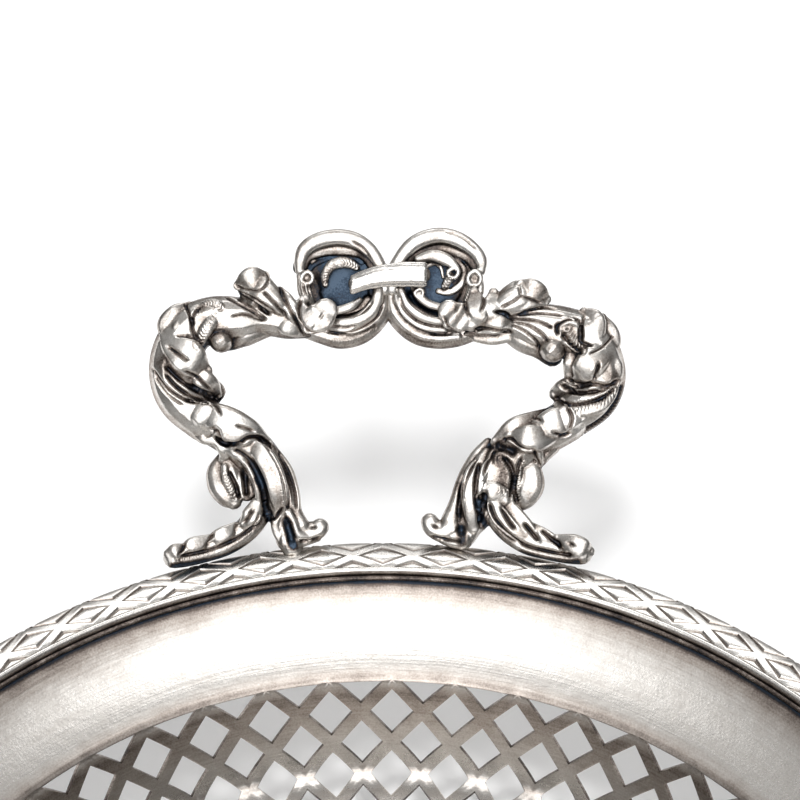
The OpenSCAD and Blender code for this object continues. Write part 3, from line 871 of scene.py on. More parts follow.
# Flutes of the shoulder
groove(body, [(-34.2, 52.9), (-30.1, 50.8), (-25.5, 47.9)], 0.3, 0.6)
groove(body, [(-32.7, 53.8), (-29, 52.1), (-24.6, 49)], 0.35, 0.8)
groove(body, [(-31.6, 54), (-27.7, 52.3), (-23.3, 49.4)], 0.3, 0.7)
groove(body, [(-32.7, 48.6), (-29.6, 49), (-25.7, 47.7)], 0.3, 0.5)
groove(body, [(-31.2, 52.1), (-27.9, 50.1), (-25.1, 48.1)], 0.25, 0.35)
# The ring round the pod
groove(body, [(-39.7, 50.5), (-41.2, 48.6), (-41.2, 45.7), (-40.3, 43.8)], 0.3, 0.6)
tarnished(body, [(-39.5, 49.7), (-39.9, 47), (-39, 44.4)], 1.2, 1.0, 5)
milled(body, [(-40.5, 49.7), (-38.6, 51.2), (-36.4, 51.4), (-35.2, 50.3)], 0.9, 0.25, 0.6)
# Creases between the lobes
groove(body, [(-42.9, 51.2), (-41.9, 49), (-41, 46.8)], 0.3, 0.7)
groove(body, [(-44.7, 44.4), (-42.9, 44.4), (-40.8, 44)], 0.3, 0.6)
# The leaf's vein
groove(body, [(-46.6, 42.2), (-44.2, 40.5), (-41.9, 38.8)], 0.4, 0.6)
# The dark hollow in the elbow's bend, with flutes
groove(body, [(-47.1, 37.9), (-45.1, 35.9), (-42.1, 33.7), (-39, 32.2), (-36.8, 31.1)], 0.5, 1.0)
groove(body, [(-46.9, 36.1), (-44.7, 33.5), (-41.4, 31.3), (-37.7, 30.3)], 0.4, 0.9)
groove(body, [(-49.9, 37.2), (-47.3, 33.7), (-43.8, 31.1), (-40.3, 29.8)], 0.3, 0.6)
groove(body, [(-49.5, 35.7), (-46.9, 32), (-43.4, 29.4)], 0.25, 0.4)
groove(body, [(-42.9, 36.8), (-40.5, 35.7), (-38.6, 34), (-37.1, 32.4)], 0.3, 0.6)
# The slot in the big lobe, and the seam round it
groove(body, [(-13.9, 47.9), (-12.6, 49.4)], 0.3, 0.25)
groove(body, [(-17.7, 52.3), (-18.3, 49.7), (-17.7, 47), (-15.7, 45.1), (-13.3, 44.6),
              (-11.1, 45.5)], 0.35, 0.8)
groove(body, [(-22.2, 54.5), (-20.9, 51.6), (-18.7, 47.5), (-17.4, 45.3)], 0.3, 0.7)
# The bud's rim and lines
groove(body, [(-32, 55.5), (-30.1, 54.6), (-27, 54.2), (-25.5, 55.1), (-24.6, 56.9),
              (-25.5, 58.6)], 0.22, 0.35)
groove(body, [(-25.9, 54), (-24.2, 52.3), (-20.9, 48.8)], 0.3, 0.5)
# The crease before the leg
groove(body, [(-42.5, 30.5), (-39.5, 30), (-36.4, 29.4), (-36, 27.4)], 0.3, 0.7)
milled(body, [(-36.2, 49.2), (-37.1, 47.5), (-38.6, 45.1), (-39.9, 42.5)], 1.1, 0.22, 0.75)
tarnished(body, [(-35.3, 43.3), (-35.1, 43.1)], 2.6, 0.95)
tarnished(body, [(-47.5, 38.3), (-45.1, 35.5), (-41.6, 32.7), (-37.7, 31.3)], 1.7, 1.0)
tarnished(body, [(-30.1, 56.2), (-27.2, 56.4)], 2.2, 0.45)
chased("left_arm", body)

bm = bmesh.new()
# The tube under the leaves
stroke(bm, [(19, 47, 0, 3.2), (22.5, 47.5, 0, 4), (27.7, 47.9, 0, 4.2), (32.9, 46.6, 0, 5),
            (38.2, 45.7, 0, 5.4), (43.4, 44.2, 0, 5.2), (46.4, 40.3, 0, 5.5), (47.3, 35.3, 0, 5.6),
            (45.6, 30.7, 0, 5.4), (40.3, 26.3, 0, 4.8)], 0.92)
stroke(bm, [(26.6, 46.2, 0.5, 2.4), (30.7, 44, 0.8, 3.2), (34.2, 42.2, 0.8, 2.8),
            (36.8, 40.1, 0.6, 2.4)], 0.8)
# Lobes on top of the elbow
stroke(bm, [(43.6, 49.7, 2, 1), (45.6, 47.9, 2.8, 2.6), (45.1, 44.9, 3.4, 3),
            (44.3, 42.9, 3.6, 1.6)], 0.45)
stroke(bm, [(47.7, 48.4, 1.4, 1), (48.6, 45.7, 1.8, 2.4), (49.1, 42.9, 2.2, 2.6),
            (48, 40.9, 3, 1.6)], 0.45)
# The elbow's leaf, in two lobes
stroke(bm, [(49.1, 42.9, 3, 0.8), (47.3, 40.9, 4.2, 2.8), (44.7, 38.3, 4.8, 3.2), (43, 35.7, 4.2, 2.6),
            (42.1, 34.8, 3.4, 1.2)], 0.42)
stroke(bm, [(48.6, 40.9, 3.2, 1), (49.1, 38.3, 3.4, 2.8), (49.5, 35.7, 3.2, 2.6),
            (49.1, 34.2, 2.8, 1.2)], 0.42)
stroke(bm, [(41.2, 40.9, 2.6, 1.6), (41.2, 38.3, 2.6, 2.2), (40.8, 36.1, 2.2, 1.6)], 0.5)
# Its tip
stroke(bm, [(43.8, 34.8, 2.4, 1.2), (41.2, 34, 2, 1.8), (39, 33.1, 0.8, 1.8),
            (37.5, 31.8, -0.4, 1.4)], 0.7)
stroke(bm, [(37.7, 32.2, -0.6, 1.4), (39, 30.5, -1, 1.6), (40.8, 29.4, -0.6, 1.4)], 0.7)
# The milled band round the bend
stroke(bm, [(39.9, 28.3, 3.8, 1), (43.4, 28.7, 4.2, 1.8), (46.9, 30, 4.2, 2.2), (49.5, 32.2, 3.4, 1.8),
            (51, 34.8, 2, 0.9)], 0.4)
# The small round end
stroke(bm, [(36.6, 41.6, 2.8, 2.8), (36.8, 41.4, 2.8, 2.8)], 1)
# The pod in its slot
stroke(bm, [(39, 46, 3.4, 1), (40.6, 43.6, 4, 1.6), (42.5, 41.8, 4, 1.4)], 0.7)
stroke(bm, [(37.9, 45.1, 4.2, 0.6), (38.2, 46.6, 4.6, 0.8), (40.3, 47.7, 4.8, 0.8),
            (42.5, 46.8, 4.6, 0.7)], 0.5)
# The bud on the shoulder
stroke(bm, [(22.5, 49.2, 3.4, 0.6), (24.9, 50.3, 3.6, 1.8), (27.5, 51.6, 3.4, 2.8), (30.1, 52.7, 3, 3.1),
            (32.3, 53.4, 2.6, 2.7)], 0.7)
stroke(bm, [(25.1, 50.3, 3.4, 1.4), (26.8, 52.9, 3, 1.9), (29, 54.5, 2.8, 2)], 0.6)
stroke(bm, [(30.1, 54.9, 3.8, 1.8), (32, 54.5, 4.2, 2.4), (34, 53.4, 4, 2.2),
            (35.5, 52.3, 3.2, 1.1)], 0.3)
stroke(bm, [(26.6, 49.9, 4.2, 1.4), (29.9, 51, 4.4, 1.5), (32.9, 51.6, 4.2, 1.1),
            (35.3, 51.6, 3.4, 0.8)], 0.4)
# Lobes over the scroll
stroke(bm, [(14.4, 49.7, 4.7, 2.6), (15.5, 48.8, 5, 3.4), (16.8, 47.9, 4.8, 2.7)], 0.32)
stroke(bm, [(19.8, 53.8, 3.4, 1.2), (20.1, 51.6, 4.2, 2.3), (19.8, 49.2, 4.7, 3),
            (19, 47.5, 4.5, 2.2)], 0.4)
stroke(bm, [(24, 53.8, 3.2, 1.1), (23.8, 51.8, 4, 2.1), (22.9, 49.7, 4.4, 2.6),
            (21.6, 47.9, 4.2, 1.8)], 0.4)
stroke(bm, [(20.9, 46, 3.9, 1.2), (23.5, 47, 4.4, 2.4), (26.2, 47.3, 4.3, 2.2),
            (28.3, 46.4, 3.4, 0.8)], 0.32)
stroke(bm, [(20.3, 44.2, 1.6, 1.2), (23.8, 44, 1.8, 1.6), (27.3, 44.6, 1.8, 1.6)], 0.6)
# The start of the leaf that wraps the leg
stroke(bm, [(44.7, 30, 2.8, 1), (42.5, 27.9, 3.4, 2.4), (39.7, 26.6, 3.8, 3),
            (36.8, 25.2, 3.4, 2.4)], 0.45)
body = cast(bm)
groove(body, [(27.9, 48.1), (31.2, 47.9), (34.2, 47.3), (36.8, 46)], 0.3, 0.5)
groove(body, [(28.3, 47.5), (31.6, 46.6), (34.2, 44.9), (35.5, 43.3)], 0.3, 0.5)
groove(body, [(28.1, 46.8), (30.7, 45.3), (33.4, 43.1), (33.8, 41.6)], 0.3, 0.5)
groove(body, [(29, 48.8), (32.5, 49.4), (36, 49.2), (39, 48.8)], 0.3, 0.5)
groove(body, [(29.9, 49.4), (34.2, 50.5), (37.7, 50.1)], 0.25, 0.4)
groove(body, [(27.7, 48.4), (26.4, 49.4), (24.6, 49.7)], 0.3, 0.6)
groove(body, [(37.9, 44.6), (37.7, 46.6), (39.9, 47.9), (42.5, 47.7), (43, 45.5), (43, 43.6)], 0.35, 0.9)
groove(body, [(38.8, 45.1), (40.3, 42.7), (42.5, 40.9)], 0.5, 0.9)
groove(body, [(43.8, 48.8), (42.7, 45.7), (43, 43.1), (45.6, 42.2)], 0.3, 0.6)
groove(body, [(49.9, 44.4), (47.5, 42), (44.7, 40.5)], 0.25, 0.5)
groove(body, [(46.7, 38.5), (46.2, 36.6), (45.6, 34.8)], 0.35, 1.0)
groove(body, [(39.9, 35.1), (43, 33.7), (45.6, 34), (48.6, 33.5), (51.2, 34.8)], 0.5, 0.8)
groove(body, [(38.6, 33.7), (41.2, 32.4), (44.7, 32.2), (48.2, 32.9)], 0.5, 1.2)
groove(body, [(37.7, 30.9), (40.3, 29.6), (44.3, 30), (47.7, 31.1), (50.4, 33.1)], 0.4, 0.9)
groove(body, [(39, 34.6), (41.2, 33.5), (43.4, 33.1)], 0.3, 0.5)
groove(body, [(40.1, 23.1), (44.7, 24.4), (48.6, 27.2), (51.2, 30.9), (52.1, 34)], 0.5, 1.0)
groove(body, [(40.1, 29), (41, 26.6), (40.3, 23.9)], 0.3, 0.7)
groove(body, [(13.1, 48.4), (14.2, 46.2), (16.4, 45.1), (18.5, 45.5)], 0.3, 0.6)
groove(body, [(17.9, 51.6), (18.1, 49.9), (18.8, 48.4)], 0.3, 0.6)
groove(body, [(21.8, 52.9), (21.8, 51.4), (21.2, 49.7)], 0.3, 0.5)
tarnished(body, [(15.3, 50.5), (15.9, 49.4)], 1.4, 0.4)
tarnished(body, [(20.1, 53.1), (20.3, 51.4)], 1.6, 0.35)
tarnished(body, [(23.3, 46.6), (26.2, 47.3)], 1.8, 0.4)
groove(body, [(25.5, 50.5), (28.1, 51.8), (29.9, 52.9), (32, 52.3), (34.4, 51.4)], 0.25, 0.4)
groove(body, [(29.9, 52.9), (29.4, 55.3)], 0.25, 0.4)
groove(body, [(24, 49.7), (25.9, 49.2), (28.1, 47.9)], 0.3, 0.6)
groove(body, [(15, 50.8), (15.9, 49.4)], 0.8, 0.25)
groove(body, [(19.4, 45.5), (22, 46), (25.5, 45.5), (28.1, 45.1)], 0.4, 0.7)
tarnished(body, [(36.6, 41.2), (36.8, 40.9)], 2.6, 0.6)
tarnished(body, [(39.7, 34), (43, 32.4), (46.4, 32.9), (49.9, 34.4)], 1.8, 0.8)
tarnished(body, [(39.7, 46.2), (41.2, 44), (42.5, 42)], 1.5, 0.7)
tarnished(body, [(31.2, 54.9), (34.2, 53.1)], 1.6, 0.4)
milled(body, [(41.4, 28.7), (44.7, 29.6), (47.7, 30.9), (49.9, 33.1)], 1.4, 0.2, 0.8)
milled(body, [(39.9, 45.7), (41.2, 43.1), (43, 41.4)], 1.2, 0.35, 0.85)
milled(body, [(39.9, 22.2), (45.1, 23.7), (49.1, 26.6), (51.7, 30.5)], 1.3, 0.3, 0.85)
chased("right_arm", body)

# The legs.
# Cast silver leaves that carry the arm down to the border, where they part in a curled toe and a
# longer leaf; both are soldered to the ribbon strip.
bm = bmesh.new()
# The tube under the leaves
stroke(bm, [(-38.8, 26.1, 0, 4.6), (-35.1, 24.2, 0, 4.7), (-31.2, 21.8, 0, 4.9), (-27.7, 18.3, 0, 4.9),
            (-25.1, 13.9, 0, 4.8), (-23.1, 9.3, 0, 4.2), (-21.8, 5.6, 0, 3.4), (-20.5, 1.7, 0.4, 2.8),
            (-19.8, -1.6, 1, 2.4)], 0.92)
# The leaf that wraps the leg
stroke(bm, [(-39.9, 27.9, 3.2, 1.4), (-36.4, 26.8, 4, 3.2), (-32.5, 24.8, 4.2, 3.8),
            (-28.6, 23.1, 3.8, 3), (-25.1, 21.1, 2.4, 1.2)], 0.45)
stroke(bm, [(-41.4, 25, 1.6, 1.6), (-38.6, 23.5, 2.4, 2.6), (-35.5, 21.8, 2.8, 1.8),
            (-34.4, 19.1, 2.6, 1.4), (-34.9, 17.6, 2, 0.8)], 0.5)
# The bulb
stroke(bm, [(-35.3, 17.2, 0.6, 1.5), (-36.2, 14.8, 0.8, 2.2), (-35.3, 11.9, 1, 2.9),
            (-33.6, 9.5, 1.2, 2.6), (-32.5, 8.5, 1.4, 1.9)], 0.8)
stroke(bm, [(-34.2, 17.4, 0, 2.2), (-33.1, 13.9, 0.2, 2.8), (-32, 10, 0.2, 2.2)], 1.0)
stroke(bm, [(-34.4, 16.1, 3, 0.7), (-34, 13.5, 3.4, 0.9), (-32.9, 10.9, 3.2, 0.8)], 0.8)
# The dark cup beside it, and its ridge
stroke(bm, [(-31.6, 18.5, 3.6, 0.5), (-29, 15.7, 4.2, 0.8), (-27.2, 11.7, 4.2, 0.9),
            (-26.8, 8.5, 3.6, 0.7)], 0.6)
stroke(bm, [(-32, 16.7, 1.2, 1.4), (-30.3, 13.9, 1.6, 2.2), (-29.6, 10.4, 1.6, 2)], 0.5)
# The stippled leaf down the front
stroke(bm, [(-29.6, 21.5, 3.6, 0.8), (-26.4, 19.1, 4.4, 2.1), (-24, 15.2, 4.6, 2.3),
            (-22.7, 10.9, 4.4, 2.2), (-22.4, 7.6, 3.6, 1.7), (-23.3, 5.2, 2.6, 0.5)], 0.4)
# The leg's inner edge
stroke(bm, [(-24.2, 19.8, 0.8, 1.2), (-21.1, 15.2, 1.2, 1.5), (-19.6, 10.4, 1.4, 1.5),
            (-19.2, 6.3, 1.4, 1.6), (-17.9, 3, 1.4, 2)], 0.8)
# Ridges at the ankle
stroke(bm, [(-21.6, 7.2, 2.6, 0.8), (-23.3, 4.3, 2.6, 0.9), (-23.1, 1.9, 2.2, 1),
            (-21.6, -1.1, 2, 0.8)], 0.7)
stroke(bm, [(-20.7, 6.5, 3, 0.8), (-19.8, 4.3, 3, 1), (-18.5, 1.5, 2.6, 1), (-15.9, 0.4, 2, 0.9)], 0.7)
# The curled toe
stroke(bm, [(-19, 3, 1, 2.6), (-16.8, 1.7, 0.8, 2.4), (-14.6, 2.1, 0.8, 2.2), (-13.7, 2.8, 1, 2)], 0.8)
stroke(bm, [(-20.7, 0, 1.2, 2.6), (-17.7, 0.2, 1, 1.8), (-14.2, 0.4, 0.8, 0.8)], 0.8)
# The leaf foot
stroke(bm, [(-26.4, 6.9, 0.4, 2.6), (-28.1, 4.3, 1, 2.8), (-30.5, 1.7, 1.8, 2.7),
            (-34.2, -0.7, 2.6, 2.6), (-38.6, -2.2, 3.4, 2.5), (-42.5, -3.3, 4.4, 2.3),
            (-45.3, -3.7, 5.2, 2.2)], 0.8)
stroke(bm, [(-27.2, 8, 3.2, 1.6), (-28.6, 5.2, 3.8, 2.2), (-30.3, 3.4, 3.6, 1.2),
            (-31.6, 2.4, 3, 0.6)], 0.5)
stroke(bm, [(-32, 3.4, 3.8, 0.8), (-33.8, 1.9, 4.4, 1.6), (-36, 0.8, 4.6, 1.6),
            (-37.3, 0, 4.4, 0.8)], 0.5)
stroke(bm, [(-37.3, 0.8, 5, 0.8), (-39.5, -0.3, 5.4, 1.6), (-41.6, -0.9, 5.8, 1.6),
            (-43.2, -1.8, 5.8, 0.8)], 0.5)
stroke(bm, [(-42.9, -1.6, 5.8, 1.2), (-44.7, -2.2, 6.2, 1.8), (-46, -2.9, 6, 1.5)], 0.6)
body = cast(bm)
groove(body, [(-38.4, 22.6), (-36, 23.9), (-35.1, 21.5), (-33.6, 20.2)], 0.45, 0.8)
groove(body, [(-36.4, 22.4), (-33.8, 20.9), (-31.2, 21.1), (-29, 22.4), (-26.4, 22.2),
              (-24.4, 20.4)], 0.4, 1.1)
groove(body, [(-31.6, 25), (-29.6, 24.4), (-27.7, 23.7)], 0.3, 0.6)
groove(body, [(-38.8, 30), (-36.4, 29.4), (-35.1, 27.4)], 0.3, 0.6)
groove(body, [(-41.2, 23.9), (-38.6, 23.9), (-36.2, 24.6)], 0.3, 0.8)
# The dark channel beside the leaf
groove(body, [(-32.3, 19.8), (-29.2, 17.8), (-27, 14.3), (-25.7, 10.4), (-25.5, 6.9),
              (-25.1, 4.8)], 0.6, 0.8)
tarnished(body, [(-27.2, 13.5), (-25.9, 10.4), (-25.5, 6.9), (-24.8, 3.9)], 0.6, 1.2, layer="bed")
groove(body, [(-31.8, 17.4), (-29.4, 14.6), (-28.1, 10.9)], 0.3, 0.7)
groove(body, [(-30.5, 16.1), (-29.9, 13), (-29.6, 9.5)], 0.6, 1.2)
groove(body, [(-33.4, 15.2), (-32, 12.2), (-31.2, 9.1)], 0.3, 0.8)
# The leaf's outer groove
groove(body, [(-25.1, 21.1), (-22.2, 16.3), (-20.9, 11.3), (-20.5, 6.9)], 0.4, 1.0)
groove(body, [(-22.7, 19.1), (-20.3, 14.8), (-19, 10.4), (-18.7, 6.9)], 0.3, 0.5)
# The hollow at the ankle
groove(body, [(-20.9, 4.3), (-20.3, 1.9), (-19.6, -0.7)], 0.9, 0.7)
tarnished(body, [(-20.9, 4.3), (-20.3, 1.9), (-19.4, -1.1)], 0.9, 1.3, layer="bed")
groove(body, [(-24.8, 6.9), (-23.8, 4.8), (-21.6, 7.2)], 0.35, 0.7)
# Lobes of the leaf foot
groove(body, [(-26.4, 6.1), (-27.5, 3.7), (-30.5, 1.3), (-34.2, -0.7), (-38.6, -2.2),
              (-43.4, -3.1)], 0.3, 0.6)
groove(body, [(-31.2, 6.1), (-31.6, 3.9), (-32, 1.9)], 0.3, 0.7)
groove(body, [(-36.8, 1.9), (-37.3, 0.4), (-38.1, -1.1)], 0.3, 0.7)
groove(body, [(-42.9, -0.3), (-43.2, -1.8), (-44, -2.9)], 0.3, 0.7)
groove(body, [(-28.1, 6.9), (-29.2, 5), (-30.3, 3.9)], 0.35, 0.6)
milled(body, [(-26.4, 4.8), (-28.1, 2.4), (-31.2, 0.2), (-36, -2), (-43.6, -4)], 0.8, 0.2, 0.5)
tarnished(body, [(-25.5, 1.3), (-29, -1.4), (-34.4, -3.7), (-39.9, -4.8),
                 (-45.1, -5.5)], 0.8, 1.3, layer="bed")
tarnished(body, [(-26.4, 4.8), (-28.1, 2.4), (-31.2, 0.2), (-36, -2), (-43.6, -4)], 1.0, 0.5)
milled(body, [(-34.2, 14.3), (-33.4, 11.7), (-32, 9.1)], 0.9, 0.3, 0.7)
tarnished(body, [(-31.4, 16.1), (-30.3, 13), (-30.1, 9.8)], 1.6, 0.6)
tarnished(body, [(-36.6, 16.3), (-36.8, 13), (-35.1, 9.5)], 2.0, 0.35)
tarnished(body, [(-29, 5.4), (-31.2, 2.8), (-34.4, 0.6)], 1.5, 0.4)
tarnished(body, [(-42.1, 23.5), (-36.6, 23.1), (-31.2, 23.5), (-26.4, 21.1)], 3.0, 0.25)
milled(body, [(-25.5, 18.5), (-23.1, 14.6), (-21.8, 10.4), (-21.8, 7.4)], 0.45, 0.15, 0.45)
tarnished(body, [(-25.1, 17), (-22.9, 12.6), (-22, 8.2)], 1.2, 0.5)
milled(body, [(-21.1, 16.1), (-19.6, 10.9), (-19, 6.5)], 0.6, 0.2, 0.45)
tarnished(body, [(-22.4, 17), (-20.1, 11.7), (-19, 6.1)], 1.2, 0.45)
groove(body, [(-15.7, 2.6), (-14.4, 3)], 0.4, 0.5)
groove(body, [(-18.1, -0.3), (-15.5, 0), (-13.5, 0.6)], 0.4, 0.7)
chased("left_leg", body)

bm = bmesh.new()
stroke(bm, [(40.3, 26.1, 0, 4.7), (36.4, 23.9, 0, 4.7), (32, 22, 0, 4.9), (28.1, 18.9, 0, 5),
            (25.1, 14.8, 0, 4.9), (23.1, 10.2, 0, 4.3), (21.2, 6.1, 0, 3.4), (19.2, 3.2, 0.4, 2.8),
            (18.3, 1, 0.8, 2.2)], 0.92)
# The leaves that wrap the leg
stroke(bm, [(41.2, 26.8, 2.8, 1.6), (38.6, 26.1, 3.8, 3.2), (35.3, 25.2, 4.2, 2.8),
            (32.5, 24.6, 3.8, 1.4)], 0.42)
stroke(bm, [(36, 27.9, 1.6, 1), (32.5, 25.9, 3, 2.2), (28.6, 23.9, 3.6, 2.8),
            (25.1, 21.3, 2.8, 1.8)], 0.42)
stroke(bm, [(37.7, 23.1, 3.2, 1.4), (34.2, 22.4, 4.4, 2.8), (30.7, 22.2, 4.8, 3),
            (27.7, 22.6, 4.2, 1.4)], 0.42)
stroke(bm, [(36.4, 20.9, 1.4, 2.4), (34.7, 19.1, 1.8, 2.2), (33.8, 17, 1.8, 1.6),
            (33.6, 15.7, 1.6, 0.8)], 0.6)
stroke(bm, [(32.7, 20.9, 3.6, 1.4), (33.6, 18.7, 3.6, 1.2), (34.2, 16.5, 3, 0.6)], 0.5)
# The bulb
stroke(bm, [(31.6, 17.8, 1.6, 1.6), (32, 15, 2, 2.6), (32, 11.9, 2.2, 3.1), (30.5, 9.1, 2, 2.6),
            (29.2, 7.8, 1.6, 1.8)], 0.65)
# The dark cup beside it
stroke(bm, [(25.5, 20.4, 2.6, 1.6), (27.3, 17, 3, 2.6), (27.7, 13, 3, 2.6), (27.3, 10, 2.6, 1.8)], 0.5)
# Pale bands down the front
stroke(bm, [(22.5, 19.1, 2, 1), (19.8, 14.8, 3, 1.8), (18.8, 10.4, 3.4, 2), (19.2, 6.1, 3.2, 1.7),
            (19.8, 2.6, 2.6, 1.2)], 0.6)
stroke(bm, [(23.8, 18.3, 3.6, 0.6), (21.6, 14.8, 4.2, 1), (20.9, 10.9, 4.2, 0.9)], 0.6)
# The leg's inner edge
stroke(bm, [(22.9, 21.1, 0.6, 1.2), (20.3, 18.1, 0.8, 1.5), (17.9, 13.5, 1, 1.7), (16.1, 8, 1.2, 1.8),
            (14.6, 4.3, 1.4, 2)], 0.8)
stroke(bm, [(20.7, 11.7, 0, 3.2), (19, 6.9, 0, 3.2), (17.7, 3, 0, 2.8)], 1.0)
# The fan over the ankle
stroke(bm, [(21.4, 11.7, 4, 1.2), (23.8, 10.9, 4.2, 2), (26.4, 9.5, 3.6, 2.2)], 0.4)
# The curled toe
stroke(bm, [(15, 3, 1, 2.6), (12.9, 1.9, 0.8, 2.4), (10.9, 2.8, 0.8, 2.2), (10.2, 3.9, 1, 2)], 0.8)
stroke(bm, [(17.2, 0.4, 1.2, 2.6), (14.2, 0.6, 1, 2), (11.1, 1.3, 0.8, 1)], 0.8)
# The fork at the ankle
stroke(bm, [(19, 8.2, 3.4, 0.5), (20.7, 5.6, 3.4, 0.6), (21.4, 8.5, 3.8, 0.5)], 0.7)
# The leaf foot
stroke(bm, [(23.3, 8.7, 0.6, 2.6), (25.1, 5.2, 1.2, 2.8), (27.7, 2.1, 1.8, 2.8), (31.6, -0.3, 2.8, 2.8),
            (36, -1.6, 3.8, 2.6), (39.9, -2.4, 4.6, 2.5), (43, -2.7, 5.2, 2.4)], 0.8)
stroke(bm, [(23.3, 9.1, 3.8, 1.4), (25.1, 5.6, 4.2, 2), (27.7, 2.8, 4.4, 1.9), (30.7, 0.4, 4.2, 1.6),
            (33.4, -0.9, 4, 0.8)], 0.45)
stroke(bm, [(26.8, 8.7, 3.4, 1.2), (28.8, 5.6, 3.8, 1.8), (31, 3, 4.2, 1.8), (33.4, 0.4, 4.2, 1)], 0.45)
stroke(bm, [(32, 3.4, 3.8, 0.8), (34.7, 1.5, 4.6, 1.4), (37.5, -0.5, 4.8, 1.4),
            (38.6, -1.4, 4.6, 0.6)], 0.45)
stroke(bm, [(37.7, 0.6, 5.2, 1), (40.8, -0.5, 6, 2.2), (43.4, -1.6, 6.2, 2.2),
            (44.7, -2.2, 5.8, 1.2)], 0.5)
body = cast(bm)
groove(body, [(39.9, 28.3), (41, 26.1), (40.3, 23.7)], 0.3, 0.7)
groove(body, [(36.8, 23.5), (38.6, 22.8), (40.6, 23.3)], 0.35, 0.8)
groove(body, [(32.7, 26.8), (34.4, 25.9)], 0.35, 0.6)
groove(body, [(25.9, 21.8), (27.7, 22.2), (29.4, 20.4), (31.6, 19.6), (32.7, 19.8)], 0.4, 0.9)
groove(body, [(32.7, 19.8), (33.1, 18.1), (34.2, 16.1)], 0.4, 0.8)
groove(body, [(24.2, 20.7), (26.8, 20), (29, 18.7)], 0.9, 1.2)
groove(body, [(26.2, 18.3), (28.1, 15.2), (28.1, 11.7), (27.7, 9.1)], 0.5, 1.0)
groove(body, [(30.1, 18.1), (29, 14.8), (28.3, 11.5), (29, 8.5)], 0.35, 0.8)
groove(body, [(20.9, 17), (20.1, 13), (20.1, 9.1), (20.7, 6.1)], 0.35, 1.0)
groove(body, [(20.3, 17.8), (17.4, 12.6), (16.6, 8.2), (16.4, 5.2)], 0.4, 0.9)
groove(body, [(22, 10.6), (21.8, 8.2), (21.2, 5.6), (21.2, 3.4)], 0.5, 1.2)
groove(body, [(17.2, 3), (17, 0.8)], 0.8, 0.7)
groove(body, [(24.4, 20), (22.7, 17), (22, 14.3)], 0.35, 0.8)
groove(body, [(22.9, 8.2), (24.2, 4.8), (26.8, 1.7), (30.7, -0.9), (35.5, -2.2),
              (40.8, -3.1)], 0.45, 1.1)
groove(body, [(25.7, 7.2), (27.3, 4.3), (28.6, 2.6)], 0.4, 0.9)
groove(body, [(30.5, 3.9), (32, 2.1), (33.8, 0)], 0.4, 0.9)
groove(body, [(34.2, 2.4), (36.4, 0.6), (38.2, -0.7)], 0.4, 0.9)
groove(body, [(37.7, 0), (38.4, -1.4), (39, -2.4)], 0.35, 0.7)
groove(body, [(39.9, -0.3), (41.4, -0.9)], 0.35, 0.5)
milled(body, [(25.5, 17.8), (27.3, 15.2), (27.7, 11.3)], 2.0, 0.2, 0.55)
tarnished(body, [(25.1, 19.1), (27.3, 16.5), (27, 13.5)], 2.6, 1.3)
milled(body, [(30.5, 17.4), (29.4, 14.3), (28.8, 11.3), (29.4, 8.7)], 0.8, 0.3, 0.6)
tarnished(body, [(34.2, 15.7), (34.4, 12.2), (32.5, 8.7)], 1.6, 0.45)
tarnished(body, [(40.8, 27.2), (36.4, 25.7), (31, 23.5), (25.5, 20.4)], 3.0, 0.2)
tarnished(body, [(17, 14.1), (15.7, 8.7), (14.6, 4.8)], 1.2, 0.4)
milled(body, [(22, 12.2), (24.6, 11.1), (27.3, 10)], 1.2, 0.12, 0.5)
milled(body, [(17.2, 8.7), (16.8, 5.2)], 0.8, 0.2, 0.45)
tarnished(body, [(17.4, 7.6), (17, 3.9)], 1.4, 0.6)
tarnished(body, [(17, 2.6), (17.2, 0)], 1.0, 1.2, layer="bed")
tarnished(body, [(20.7, 8.7), (21.4, 5.2), (22.7, 2.6), (25.5, -0.7)], 0.8, 1.1, layer="bed")
tarnished(body, [(29.9, -2.9), (35.3, -4.2), (41.9, -4.6)], 0.8, 1.1, layer="bed")
tarnished(body, [(26.2, 7.6), (28.1, 4.3), (30.3, 1.3)], 1.2, 0.5)
tarnished(body, [(32.5, 3.9), (35.3, 1), (37.5, -1.1)], 1.2, 0.5)
groove(body, [(10.7, 3.2), (12, 2.8)], 0.4, 0.5)
groove(body, [(10.2, 0.8), (13.5, 0.2), (16.8, -0.3)], 0.4, 0.6)
chased("right_leg", body)

# The lower scrolls.
# Reeded silver bars that roll inwards under the upper scrolls, with the sunk bed between them. They
# are cast, and soldered to the arms and to each other.
bm = bmesh.new()
# The sunk bed
stroke(bm, [(-16.3, 59.3, -1.6, 2.2), (-13.3, 59.3, -1.6, 3.6), (-10.2, 57.5, -1.6, 5.4),
            (-8.1, 54, -1.6, 5.8), (-7.2, 51.4, -1.4, 4.6)], 0.3)
stroke(bm, [(-16.8, 57.5, -1.8, 2.2), (-15.5, 54.5, -1.8, 3.2), (-12.4, 52.3, -1.6, 3.6),
            (-9.4, 51, -1.6, 3.4)], 0.3)
stroke(bm, [(-7.2, 59.7, -1.6, 3), (-4.6, 56.6, -1.6, 4.4), (-3.7, 53.1, -1.4, 3)], 0.3)
# The outer band
stroke(bm, [(0.7, 53.6, -0.4, 1.6), (0, 50.3, -0.4, 2.2), (-2.2, 47.3, -0.6, 2.5),
            (-5.4, 45.1, -0.6, 2.7), (-9.4, 44.2, -0.6, 2.6), (-13.3, 45.1, -0.6, 2.4),
            (-16.8, 46.6, -0.6, 2.6)], 0.9)
